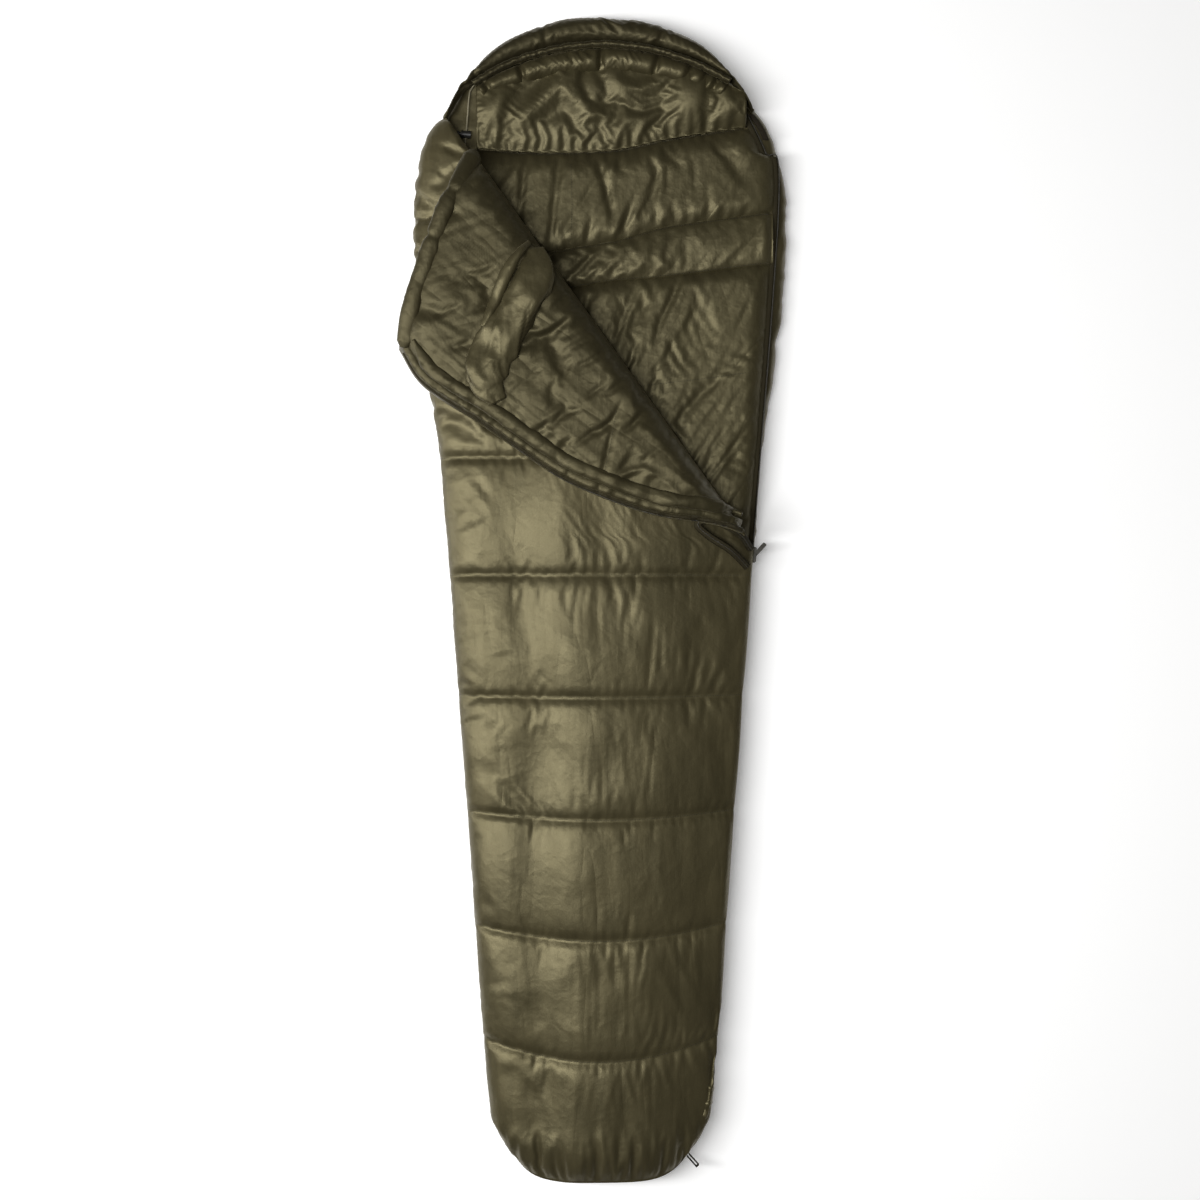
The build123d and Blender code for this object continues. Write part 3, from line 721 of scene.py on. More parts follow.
def front_bumps(x, y, near, foot, left, strip):
    """Puckers at the seams, gathers at the foot, and drags, stronger at the left and up the strip."""
    puckers = near**1.5 * (creases(x, y, 78, 0.10, 0.020, 21) + creases(x, y, 112, 0.08, 0.026, 26))
    gathers = foot * creases(x, y, 90, 0.12, 0.014, 25)
    drags = 0.7 * creases(x, y, -52, 0.16, 0.034, 22) + 0.4 * creases(x, y, 18, 0.3, 0.06, 23)
    bumps = 0.0035 * puckers + 0.009 * gathers + (0.0010 + 0.0050 * left) * drags
    bumps += 0.0055 * smooth_noise(x * 7, y * 6, 24) + 0.0016 * smooth_noise(x * 22, y * 18, 27)
    folds = 0.010 * creases(x, y, -20, 0.12, 0.040, 28) + 0.006 * creases(x, y, -65, 0.14, 0.030, 29)
    return bumps + strip * folds


def front_cloth(material):
    """The quilted front that lies in place: held at its edges and seams, loose between them."""
    rows = front_rows()
    base = np.array([front_section(station, through) for station, through, _ in rows])
    seam = np.array([is_seam for _, _, is_seam in rows])
    held = sewn(base.shape[:2], (0, 1, -2, -1), (0, 1)) | seam[:, None]
    x, y = base[..., 0], base[..., 1]
    station = np.array([r[0] for r in rows])[:, None]
    through = np.array([r[1] for r in rows])[:, None]
    near = 1 - np.sin(math.pi * np.clip(through, 0, 1)) ** 0.6
    foot = np.clip((-1.0 - station) / 0.06, 0, 1)
    left = np.clip((-x / np.maximum(half_width(y), 0.05) - 0.35) / 0.4, 0, 1)
    strip = np.clip((y - 0.25) / 0.15, 0, 1)
    start = raised(base, held, front_bumps(x, y, near, foot, left, strip), grid_normals(base))
    grow_u = 0.014 + 0.020 * near + 0.08 * foot + 0.03 * strip
    grow_v = 0.003 + 0.012 * left + 0.03 * strip
    rise = 0.0022 + 0.0068 * (1 - near)
    top = relax(base, start, held, grow_u, grow_v, 130, 0.00001, -0.009, rise, 0.2)
    top = soften(top, held)
    under = flat_under(top, FRONT_UNDER_Z)
    under[..., 2] = np.minimum(FRONT_UNDER_Z, top[:, :1, 2] + 0.012)
    obj = pad("front_quilted_cloth", top, under, material, "bag")
    layers = ("shell", "insulation", "lining")
    nodes = [f"{part}_{layer}" for part in ("front", "foot_gather") for layer in layers]
    declare(obj, "shell_cloth", *nodes, padding=0.7)
    return top, seam


# ---- flap ----------------------------------------------------------------------------------
def to_fold(points):
    """Plan points as (distance along the fold from A, distance out of it towards the open side)."""
    rel = np.asarray(points, float)[..., :2] - FOLD_A
    return np.stack([rel @ FOLD_DIR, rel @ FOLD_OUT], -1)


def from_fold(s, v, z):
    """3-D points from distances along and out of the fold, and heights."""
    plan = FOLD_A + s[..., None] * FOLD_DIR + v[..., None] * FOLD_OUT
    return np.concatenate([plan, z[..., None]], -1)


# Folds seen on the flap's lining, the back's lining and the hood's: (height, width, crest).
FLAP_FOLDS = [
    (0.011, 0.010, [(-0.266, 0.769), (-0.212, 0.671), (-0.172, 0.612)]),
    (-0.008, 0.009, [(-0.245, 0.770), (-0.195, 0.690), (-0.160, 0.640)]),
    (0.009, 0.016, [(-0.340, 0.610), (-0.290, 0.570), (-0.235, 0.545)]),
    (-0.008, 0.012, [(-0.345, 0.560), (-0.290, 0.520), (-0.245, 0.480)]),
    (0.008, 0.012, [(-0.300, 0.470), (-0.260, 0.430), (-0.215, 0.395)]),
    (0.009, 0.010, [(-0.170, 0.380), (-0.095, 0.330), (-0.020, 0.275)]),
    (-0.008, 0.010, [(-0.150, 0.345), (-0.085, 0.290), (-0.025, 0.245)]),
    (0.007, 0.010, [(-0.115, 0.430), (-0.050, 0.375), (0.010, 0.345)]),
    (-0.006, 0.007, [(0.030, 0.365), (0.018, 0.290), (0.002, 0.215)]),
    (0.006, 0.012, [(0.045, 0.365), (0.033, 0.290), (0.018, 0.215)]),
    (0.007, 0.014, [(0.045, 0.315), (0.100, 0.270), (0.150, 0.215)]),
]
BACK_FOLDS = [
    (0.010, 0.010, [(0.129, 0.505), (0.152, 0.560), (0.178, 0.613)]),
    (-0.009, 0.010, [(0.104, 0.480), (0.135, 0.545), (0.150, 0.590)]),
    (0.010, 0.011, [(0.040, 0.385), (0.090, 0.445), (0.132, 0.510), (0.160, 0.560)]),
    (0.011, 0.011, [(0.110, 0.310), (0.165, 0.400), (0.245, 0.480), (0.285, 0.540)]),
    (-0.010, 0.010, [(0.130, 0.320), (0.185, 0.395), (0.262, 0.465)]),
    (0.011, 0.011, [(0.178, 0.290), (0.228, 0.366), (0.290, 0.448)]),
    (0.009, 0.010, [(0.205, 0.215), (0.232, 0.290), (0.270, 0.350)]),
    (0.010, 0.009, [(0.279, 0.440), (0.277, 0.300), (0.266, 0.165)]),
    (-0.008, 0.008, [(0.262, 0.430), (0.261, 0.300), (0.250, 0.180)]),
    (0.009, 0.011, [(-0.019, 0.535), (0.020, 0.575), (0.045, 0.600)]),
    (-0.011, 0.011, [(0.138, 0.845), (0.085, 0.770), (0.040, 0.696)]),
    (0.009, 0.012, [(0.118, 0.852), (0.062, 0.775), (0.022, 0.710)]),
    (-0.009, 0.010, [(0.000, 0.800), (0.012, 0.745), (0.030, 0.700)]),
    (0.008, 0.012, [(-0.020, 0.800), (-0.008, 0.750), (0.012, 0.700)]),
    (0.008, 0.016, [(0.190, 0.840), (0.220, 0.790), (0.290, 0.740)]),
    (-0.007, 0.012, [(0.240, 0.850), (0.255, 0.810), (0.300, 0.770)]),
    (0.008, 0.014, [(-0.110, 0.830), (-0.120, 0.770), (-0.135, 0.700)]),
    (-0.007, 0.010, [(-0.080, 0.830), (-0.085, 0.760), (-0.100, 0.690)]),
]
HOOD_FOLDS = [
    (-0.020, 0.014, [(-0.021, 1.015), (-0.014, 0.975), (0.000, 0.940)]),
    (0.014, 0.016, [(-0.048, 1.010), (-0.055, 0.965), (-0.030, 0.930), (0.005, 0.915)]),
    (0.013, 0.015, [(0.010, 1.010), (0.030, 0.970), (0.070, 0.955), (0.110, 0.975)]),
    (-0.012, 0.013, [(0.040, 0.940), (0.090, 0.935), (0.130, 0.965)]),
    (0.012, 0.015, [(-0.150, 0.905), (-0.110, 0.945), (-0.075, 0.985)]),
    (-0.012, 0.013, [(-0.165, 0.935), (-0.130, 0.965), (-0.100, 0.995)]),
    (0.012, 0.018, [(-0.215, 0.900), (-0.190, 0.940), (-0.180, 0.970)]),
    (-0.010, 0.012, [(-0.120, 0.905), (-0.070, 0.925), (-0.050, 0.900)]),
    (0.010, 0.012, [(0.020, 0.880), (0.060, 0.905), (0.115, 0.915)]),
    (-0.010, 0.011, [(0.090, 0.895), (0.125, 0.930), (0.128, 0.965)]),
    (-0.010, 0.011, [(0.205, 0.975), (0.212, 0.940), (0.200, 0.905)]),
    (0.010, 0.011, [(0.232, 0.970), (0.238, 0.930), (0.236, 0.900)]),
]

hem_sv = to_fold(curve_through(FLAP_HEM, 80))
edge_sv = to_fold(curve_through(FLAP_ZIP_EDGE, 200))
flap_s = np.concatenate([hem_sv[:, 0], edge_sv[1:, 0]])
flap_v = np.concatenate([hem_sv[:, 1], edge_sv[1:, 1]])


def flap_width(s):
    """How wide the folded flap is, s along the fold."""
    return np.maximum(-np.interp(s, flap_s, flap_v), 0.004)


def flap_height(s, v):
    """Height of the flap's lining: a rolled fold, a soft pad, and thin edges that lie lower."""
    width = flap_width(s)
    f = np.clip(-v / width, 0, 1)
    thick = np.clip(width / 0.12, 0.25, 1.0)
    crown = 0.112 + 0.034 * thick
    corner = np.clip((0.30 - s) / 0.25, 0, 1) * np.clip(s / 0.12, 0, 1) * np.clip((f - 0.72) / 0.28, 0, 1)
    edge = 0.109 - 0.012 * corner + 0.014 * bell(s, 0.70, 0.13)
    rim = np.clip((1 - f) * width / 0.085, 0, 1)
    pad_z = edge + (crown - edge) * np.sqrt(1 - (1 - rim) ** 2)
    roll_r = np.minimum(0.032, width * 0.5)
    back = np.clip(-v / roll_r, 0, 1)
    roll_z = 0.106 + (crown - 0.106) * np.sqrt(np.maximum(0, 1 - (1 - back) ** 2))
    return np.minimum(pad_z, roll_z)


def flap_cloth(material):
    """The folded flap, its lining up."""
    s = np.linspace(flap_s[0] + 0.004, flap_s[-1] - 0.002, 200)
    f = np.linspace(0, 1, 78)
    width = flap_width(s)
    ss = np.repeat(s[:, None], len(f), 1)
    vv = -f[None, :] * width[:, None]
    zz = flap_height(ss, vv)
    base = from_fold(ss, vv, zz)
    x, y = base[..., 0], base[..., 1]
    held = sewn(ss.shape, (0, -2, -1), (0, 1, -2, -1))
    wrinkles = creases(x, y, -38, 0.22, 0.036, 31) + 0.7 * creases(x, y, -75, 0.12, 0.030, 32)
    wrinkles += 0.6 * creases(x, y, 20, 0.15, 0.035, 33)
    rim = np.clip(5 * f * (1 - f), 0, 1)[None, :]
    lift = 0.0065 * wrinkles + 0.006 * smooth_noise(x * 12, y * 12, 34) + ridges(x, y, FLAP_FOLDS)
    start = raised(base, held, rim * lift, grid_normals(base))
    top = relax(base, start, held, 0.045, 0.045, 130, 0.00002, -0.010, 0.014, 0.25)
    crisp = creases(x, y, -40, 0.26, 0.013, 38) + 0.8 * creases(x, y, 22, 0.18, 0.012, 39)
    top = raised(soften(top, held), held, rim * 0.0014 * crisp)
    rings = [flap_ring(a, b, top[i]) for i, (a, b) in enumerate(zip(s, width))]
    obj = tube("flap_cloth", np.array(rings), material, None)
    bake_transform(obj)
    declare(obj, "lining_cloth", "flap_shell", "flap_insulation", "flap_lining", padding=0.5)
    return top


def quilted_shell(s, v):
    """How far seams and wrinkles draw the shell into the flap, on its folded side."""
    closed = FOLD_A + s[:, None] * FOLD_DIR + (FOLD_GAP - v)[:, None] * FOLD_OUT
    seam = seam_closeness(closed[:, 1], 0.030) ** 2
    soft = 0.5 + 0.5 * smooth_noise(closed[:, 0] * 26, closed[:, 1] * 16, 36)
    crinkle = np.maximum(creases(closed[:, 0], closed[:, 1], 70, 0.12, 0.022, 37), 0)
    return 0.008 * seam + 0.0035 * soft + 0.0030 * crinkle


def flap_ring(s, width, top):
    """The flap's top, its thin edge, its shell side, the crease and the front's lining below."""
    edge_z = top[-1, 2]
    fold = min(0.012, width * 0.3)
    deep = min(0.070, width * 0.8)
    profile = [
        (-width - 0.001, edge_z - 0.003), (-width + min(0.012, width * 0.1), edge_z - 0.007),
        (-width + min(0.050, width * 0.4), edge_z - 0.008), (-(width + fold) / 2, 0.1035), (-fold, 0.1035),
        (-fold * 0.3, 0.0995), (-fold, 0.0955), (-deep, 0.079), (-deep, 0.068), (-deep * 0.5, 0.061),
        (-deep * 0.18, 0.068), (0.0, 0.088), (0.001, 0.098),
    ]
    shell_side = resample(np.array(profile[:5]), 44)
    below = resample(np.array(profile[4:]), 22)[1:]
    inside = np.sin(math.pi * np.linspace(0, 1, len(shell_side))) ** 0.3
    drawn = quilted_shell(np.full(len(shell_side), s), shell_side[:, 0])
    shell_side[:, 1] += inside * drawn * min(1, width / 0.15)
    under = np.vstack([shell_side, below])
    ss = np.full(len(under), s)
    return np.vstack([top, from_fold(ss, under[:, 0], under[:, 1])])


# ---- back lining, hood ---------------------------------------------------------------------
BAND_LOW = [(-0.36, 0.548), (-0.077, 0.584), (0.011, 0.599), (0.130, 0.609), (0.326, 0.634)]
BAND_HIGH = [
    (-0.36, 0.628), (-0.115, 0.656), (-0.049, 0.667), (0.030, 0.680), (0.130, 0.707), (0.326, 0.734),
]


def band_edges(x):
    """The two seams of the neck baffle on the back, as Y at each X."""
    low, high = curve_through(BAND_LOW, 200), curve_through(BAND_HIGH, 200)
    return np.interp(x, low[:, 0], low[:, 1]), np.interp(x, high[:, 0], high[:, 1])


def back_lining(material):
    """The back's lining, seen in the opening, with long drag wrinkles towards the zip."""
    rows, cols = 180, 132
    t = np.linspace(0, 1, rows)
    u = np.linspace(0, 1, cols)
    seam = curve_through(NECK_SEAM, 100)
    left_x = -half_width(0.05 + 0.80 * t) + 0.03
    zip_edge = zip_line(300)
    right_x = np.interp(0.05 + 0.846 * t, zip_edge[:, 1], zip_edge[:, 0]) - 0.004
    x = left_x[:, None] * (1 - u) + right_x[:, None] * u
    top_y = np.interp(x, seam[:, 0], seam[:, 1])
    y = 0.05 + t[:, None] * (top_y - 0.05)
    edge = np.minimum(1, np.minimum(u, 1 - u) / 0.06)[None, :]
    neck = np.minimum(1, (1 - t) / 0.05)[:, None]
    z = 0.037 + 0.012 * np.sqrt(edge) * np.sqrt(neck)
    low_y, high_y = band_edges(x)
    under_band = np.clip((y - low_y) / 0.010, 0, 1) * np.clip((high_y - y) / 0.010, 0, 1)
    z = z - 0.007 * under_band
    base = np.stack([x, y, z], -1)
    held = sewn(x.shape) | (under_band > 0.5)
    wrinkles = creases(x, y, 52, 0.22, 0.030, 41) + 0.5 * creases(x, y, 66, 0.14, 0.022, 42)
    wrinkles += 0.5 * creases(x, y, 25, 0.20, 0.035, 43)
    lift = 0.0042 * wrinkles + 0.005 * smooth_noise(x * 11, y * 11, 44) + ridges(x, y, BACK_FOLDS)
    start = raised(base, held, edge * lift)
    top = relax(base, start, held, 0.045, 0.020, 130, 0.00002, -0.008, 0.013, 0.25)
    crisp = creases(x, y, 55, 0.30, 0.013, 45) + 0.6 * creases(x, y, 70, 0.20, 0.011, 46)
    top = raised(soften(top, held), held, edge * 0.0016 * crisp)
    obj = pad("back_lining_cloth", top, flat_under(top, LINING_UNDER_Z), material, "bag")
    declare(obj, "lining_cloth", "back_lining", "hood_back_lining", padding=0.4)
    return top


def hood_lining(material):
    """The hood's lining: loose satin, gathered at the neck seam and at the collar."""
    rows, cols = 64, 140
    t = np.linspace(0, 1, rows)
    u = np.linspace(0, 1, cols)
    x = (-0.236 + 0.511 * u)[None, :] * np.ones((rows, 1))
    seam = curve_through(NECK_SEAM, 100)
    low_y = np.interp(x, seam[:, 0], seam[:, 1]) - 0.002
    reach = np.sqrt(np.maximum(COLLAR_R**2 - (x - COLLAR_C[0]) ** 2, 0)) + COLLAR_C[1] + 0.016
    y = low_y + t[:, None] * (reach - low_y)
    slope = np.broadcast_to(t[:, None], x.shape)
    z = 0.047 + 0.014 * np.sin(math.pi * slope) ** 0.8 + 0.016 * slope**2
    base = np.stack([x, y, z], -1)
    held = sewn(x.shape)
    near_neck = bell(y, low_y, 0.02)
    bulge = np.exp(-(((x - 0.165) ** 2 + (y - 0.943) ** 2) / 0.0011) ** 1.5)
    lift = 0.003 * creases(x, y, 70, 0.11, 0.050, 51) + 0.005 * smooth_noise(x * 11, y * 13, 52)
    lift += 0.005 * near_neck * creases(x, y, 95, 0.05, 0.013, 53)
    lift += 0.013 * bulge + ridges(x, y, HOOD_FOLDS)
    start = raised(base, held, np.sin(math.pi * slope) ** 0.5 * lift)
    top = relax(base, start, held, 0.035 + 0.03 * near_neck, 0.03, 90, 0.0, -0.011, 0.018, 0.8)
    top = soften(top, held)
    obj = pad("hood_lining_cloth", top, flat_under(top, LINING_UNDER_Z), material, "bag")
    declare(obj, "lining_cloth", padding=0.4)


def hood_polar(angle, radius):
    """Plan points round the middle of the hood's channel arc."""
    return CHANNEL_C + np.stack([np.cos(angle), np.sin(angle)], -1) * np.asarray(radius)[..., None]


def outline_radius(angle):
    """The bag's outline as seen from the middle of the hood's channel arc."""
    both = np.vstack([outline_line, outline_line[::-1] * (-1, 1)])
    both = both[both[:, 1] > 0.70]
    rel = both - CHANNEL_C
    turn = np.arctan2(rel[:, 1], rel[:, 0])
    order = np.argsort(turn)
    return np.interp(angle, turn[order], np.linalg.norm(rel, axis=1)[order])


def collar_radius(angle):
    """The collar's inner edge, seen from the same middle."""
    d = COLLAR_C - CHANNEL_C
    along = d[0] * np.cos(angle) + d[1] * np.sin(angle)
    return along + np.sqrt(along**2 + COLLAR_R**2 - (d**2).sum())


def hood_roll(name, angle, radius, z, held, bumps, grow, reach, low_z, material):
    """A padded roll of the hood: its cloth relaxed within reach, over a level underside."""
    base = np.concatenate([hood_polar(angle[:, None], radius), z[..., None]], -1)
    normal = grid_normals(base)
    if normal[..., 2].mean() < 0:
        normal = -normal
    start = raised(base, held, bumps, normal)
    top = relax(base, start, held, *grow, 90, 0.0, -reach, reach, 0.3)
    under = np.linspace(top[:, -1], top[:, 0], 8, axis=1)[:, 1:-1]
    under[..., 2] = low_z
    return tube(name, np.concatenate([top, under], axis=1), material, "bag")


def hood_brim(material):
    """The padded band of shell round the hood, over its outer edge and down to the back."""
    angle = np.linspace(math.radians(134.5), math.radians(48.5), 190)
    outer = outline_radius(angle)
    inner = np.minimum(CHANNEL_R - 0.001, outer - 0.008)
    t = np.linspace(0, math.pi, 34)
    seam_turns = np.radians([103.5, 76.5, 122, 58])
    seam = np.max([bell(angle, turn, 0.012) for turn in seam_turns], axis=0)
    ends = np.clip(np.minimum(angle - angle[-1], angle[0] - angle) / 0.10, 0.05, 1) ** 0.5
    half = (outer - inner) * 0.5
    radius = (inner + half)[:, None] - half[:, None] * np.sign(np.cos(t)) * np.abs(np.cos(t)) ** 0.7
    height = (0.050 + 0.028 * ends * (1 - 0.08 * seam))[:, None]
    z = 0.038 + (height - 0.038) * np.sin(t) ** 0.8
    held = sewn(z.shape, (0, 1, -1))
    held[np.argmin(np.abs(angle[:, None] - seam_turns[:2]), axis=0)] = True
    arc = angle[:, None] * 0.47
    bumps = 0.0035 * creases(arc, radius, 14, 0.10, 0.022, 61)
    bumps += 0.004 * smooth_noise(arc * 13, radius * 20, 62)
    outward = np.clip((-np.cos(t) - 0.6) / 0.4, 0, 1)
    drawn = radius - 0.0015 * seam[:, None] * outward
    grow = (0.015, 0.018)
    obj = hood_roll("hood_brim_cloth", angle, drawn, z, held, bumps, grow, 0.006, 0.034, material)
    declare(obj, "shell_cloth", "hood_brim_shell", "hood_brim_insulation", padding=0.6)


def hood_channel(material, thread):
    """The stitched cord channel between the brim and the collar."""
    angle = np.linspace(math.radians(123.5), math.radians(57.3), 200)
    ring = np.linspace(0, 2 * math.pi, 16, endpoint=False)
    wave = 0.0012 * smooth_noise(angle * 60, angle * 0, 65)
    radius = (CHANNEL_R - 0.006 + wave)[:, None] + 0.0066 * np.cos(ring)
    crinkle = 0.0012 * smooth_noise(angle[:, None] * 110, np.cos(ring)[None, :] * 2, 66)
    z = 0.070 + 0.009 * np.sin(ring) + crinkle
    rings = np.concatenate([hood_polar(angle[:, None], radius), z[..., None]], -1)
    obj = tube("hood_channel_cloth", rings, material, "bag")
    declare(obj, "shell_cloth", "hood_channel", padding=0.3)
    lines = []
    for off in (-0.0022, -0.0098):
        plan = hood_polar(angle, CHANNEL_R + off + wave)
        lines.append(np.column_stack([plan, np.full(len(angle), 0.0775)]))
    stitches("hood_channel_stitches", lines, thread, "bag")


def hood_collar(material):
    """The padded collar inside the channel, gathered into soft pillows."""
    angle = np.linspace(math.radians(123.0), math.radians(57.5), 230)
    inner = np.minimum(collar_radius(angle) - 0.014, CHANNEL_R - 0.030)
    outer = CHANNEL_R - 0.0105
    t = np.linspace(0, math.pi, 26)
    pinches = [
        (121.0, 0.7), (111.4, 0.8), (90.5, 1.0), (76.0, 0.6), (67.5, 0.8), (63.0, 0.8), (60.0, 0.8),
    ]
    gather = np.max([depth * bell(angle, math.radians(turn), 0.017) for turn, depth in pinches], axis=0)
    mid, half = (inner + outer) / 2, (outer - inner) / 2
    drawn = 1 - 0.12 * gather[:, None] * (np.cos(t) > 0)
    radius = mid[:, None] - half[:, None] * np.cos(t) * drawn
    height = 0.046 + 0.030 * (1 - 0.38 * gather)
    z = 0.046 + (height - 0.046)[:, None] * np.sin(t) ** 0.75
    arc = angle[:, None] * 0.44
    bumps = 0.0035 * creases(arc, radius, 70, 0.07, 0.026, 71)
    bumps += 0.0035 * smooth_noise(arc * 18, radius * 30, 72)
    grow, held = (0.03, 0.03), sewn(z.shape)
    obj = hood_roll("hood_collar_cloth", angle, radius, z, held, bumps, grow, 0.008, 0.040, material)
    declare(obj, "lining_cloth", "hood_collar_lining", "hood_collar_fill", padding=0.5)


# ---- pieces on the flap and the back -------------------------------------------------------
def crumpled_tube(name, path, radius, flat, crease_angle, depth, seed, material, body, count=28):
    """A soft stuffed tube along a path, its cloth wrinkled."""
    rings = sweep(path, radius, count, flat)
    travelled = travel(path)[:, None]
    around = np.linspace(0, 2 * math.pi, count, endpoint=False)[None, :]
    radius = np.broadcast_to(radius, len(path))[:, None]
    fold = creases(travelled, radius * around, crease_angle, 0.05, 0.014, seed)
    lumps = smooth_noise(travelled * 30, np.cos(around) * 2, seed + 5)
    lumps = lumps + smooth_noise(travelled * 26 + 9.5, np.sin(around) * 2, seed + 6)
    grow = 1 + (depth * (fold + 0.6 * lumps)) / np.maximum(radius, 1e-6)
    centre = path[:, None]
    return tube(name, centre + (rings - centre) * grow[..., None], material, body)


def flap_neck_baffle(top, material):
    """The padded neck baffle, rolled up like a sleeve across the flap, and the dark slit beside it."""
    points = [
        (-0.124, 0.648), (-0.122, 0.605), (-0.146, 0.545), (-0.178, 0.490),
        (-0.203, 0.440), (-0.209, 0.398), (-0.192, 0.362),
    ]
    plan = curve_through(points, 90)
    t = np.linspace(0, 1, 90)
    swell_at = (0, 0.10, 0.30, 0.52, 0.66, 0.82, 1.0)
    swell = (0.014, 0.028, 0.039, 0.041, 0.034, 0.039, 0.014)
    radius = smoothed(np.interp(t, swell_at, swell), 4)
    path = np.column_stack([plan, smoothed(height_on(top, plan), 8) + radius * 0.13])
    sleeve = crumpled_tube("flap_baffle_cloth", path, radius, 0.37, 28, 0.0080, 81, material, "flap", 56)
    declare(sleeve, "lining_cloth", "flap_baffle_cover", "flap_baffle_fill", padding=0.5)
    lip_plan = curve_through([(-0.132, 0.660), (-0.164, 0.618), (-0.190, 0.560), (-0.216, 0.500)], 60)
    lip = np.column_stack([lip_plan, smoothed(height_on(top, lip_plan) + 0.004, 5)])
    lip_r = 0.002 + 0.010 * np.sin(math.pi * np.linspace(0.05, 0.95, 60)) ** 0.7
    edge = crumpled_tube("flap_baffle_lip", lip, lip_r, 0.7, 12, 0.0020, 84, material, "flap", 18)
    declare(edge, "lining_cloth", padding=0.4)


def along_zip_edge(top, inset, lift, start, end, count):
    """A line on the flap, inset from its zip edge, from one share of the edge to another."""
    line = moved_in(curve_through(FLAP_ZIP_EDGE, 400), inset)
    line = resample(line[int(start * 399): int(end * 399) + 1], count)
    return np.column_stack([line, smoothed(height_on(top, line), 4) + lift])


def zip_coil(name, path, material, body, *nodes, width=0.0016):
    """A sewn coil: a thin tube that swells at each tooth."""
    pitch, steps = 0.0026, 4
    count = int(travel(path)[-1] / pitch) * steps + 1
    radius = width * (0.72 + 0.28 * np.cos(np.arange(count) * 2 * math.pi / steps))
    coil = tube(name, sweep(resample(path, count), radius, 8), material, body)
    declare(coil, "zip_coil", *nodes)


def ribbon(name, path, width, thick, material, body, *nodes, tilt=0.0):
    """A flat tape that lies along a path; tilt lowers its outer side."""
    along = unit(np.gradient(path, axis=0))
    side = unit(np.cross(along, (0.0, 0.0, 1.0))) + np.array([0.0, 0.0, -tilt])
    up = np.array([0.0, 0.0, 1.0])
    half, bulge = width / 2, thick * 0.65
    corners = [(-half, 0), (-half * 0.5, bulge), (half * 0.5, bulge), (half, 0), (0, -thick * 0.5)]
    rings = np.stack([path + side * a + up * b for a, b in corners], axis=1)
    declare(tube(name, rings, material, body), "zip_tape", *nodes)


def flap_zip(top, lining, tape, coil):
    """What is sewn along the flap's zip edge: the coil, its tape, and the facing inside them."""
    wave = 0.0012 * smooth_noise(np.linspace(0, 45, 400), np.zeros(400), 90)
    coil_path = along_zip_edge(top, 0.0012, -0.001, 0.03, 0.985, 400)
    coil_path[:, 2] += wave
    zip_coil("flap_zip_coil_teeth", coil_path, coil, "flap", "flap_zip_coil")
    tape_path = along_zip_edge(top, 0.0050, 0.0012, 0.02, 0.985, 400)
    tape_path[:, 2] += wave
    ribbon("flap_zip_tape_cloth", tape_path, 0.0070, 0.0016, tape, "flap", "flap_zip_tape", tilt=0.1)
    facing_path = along_zip_edge(top, 0.0155, 0.0010, 0.015, 0.975, 400)
    facing_path[:, 2] += wave
    t = np.linspace(0, 1, 400)
    width = 0.0078 + 0.0006 * smooth_noise(t * 30, t * 0, 95)
    facing = crumpled_tube(
        "flap_zip_facing", facing_path, width, 0.36, 66, 0.0010, 96, lining, "flap", 20,
    )
    declare(facing, "lining_cloth", padding=0.3)


def flap_draft_tube(top, lining, thread):
    """The padded tube inside the flap's zip, and the stitches between the two."""
    path = along_zip_edge(top, 0.0330, 0.0030, 0.01, 0.97, 300)
    t = np.linspace(0, 1, 300)
    pinch = 0.5 + 0.5 * smooth_noise(t * 22, t * 0, 91)
    radius = (0.0120 + 0.0014 * pinch) * np.clip(np.minimum(t, 1 - t) / 0.06, 0.3, 1)
    puffy = crumpled_tube(
        "flap_draft_tube_cloth", path, radius, 0.42, 30, 0.0018, 92, lining, "flap", 30,
    )
    declare(puffy, "lining_cloth", "flap_draft_tube_cover", "flap_draft_tube_fill", padding=0.6)
    stitches("flap_edge_stitches", [along_zip_edge(top, 0.0088, 0.0028, 0.03, 0.97, 300)], thread, "flap")


def flap_hem(top, lining):
    """The padded binding along the flap's edge at the neck, with two knots in it."""
    plan = moved_in(curve_through(FLAP_HEM, 200), 0.0125)
    path = np.column_stack([plan, smoothed(height_on(top, plan), 30) + 0.0050])
    t = np.linspace(0, 1, 200)
    knots = bell(t, 0.22, 0.02) + bell(t, 0.46, 0.02)
    radius = (0.0160 + 0.0016 * smooth_noise(t * 8, t * 0, 93)) * (1 - 0.25 * knots)
    radius = radius * np.clip(np.minimum(t + 0.03, 1.03 - t) / 0.06, 0.4, 1)
    hem = crumpled_tube("flap_hem_roll", path, radius, 0.46, 35, 0.0010, 94, lining, "flap", 30)
    declare(hem, "lining_cloth", "flap_hem_binding", padding=0.5)


def laid_on(top, points):
    """A line through plan points, laid on a cloth grid."""
    plan = curve_through(points, 80)
    return np.column_stack([plan, smoothed(height_on(top, plan), 2) + 0.0008])


def lining_seams(back_top, flap_top, thread):
    """Stitched seams of the linings: the neck seam, two short ones on the back, one on the flap."""
    on_back = [
        [(x, y - 0.005) for x, y in NECK_SEAM[1:]],
        [(-0.057, 0.820), (-0.055, 0.745), (-0.057, 0.680)],
        [(0.045, 0.400), (0.160, 0.412), (0.272, 0.427)],
    ]
    on_flap = [(0.028, 0.350), (0.018, 0.290), (0.004, 0.225)]
    lines = [laid_on(back_top, points) for points in on_back]
    stitches("back_lining_stitches", lines, thread, "bag")
    stitches("flap_lining_stitches", [laid_on(flap_top, on_flap)], thread, "flap")


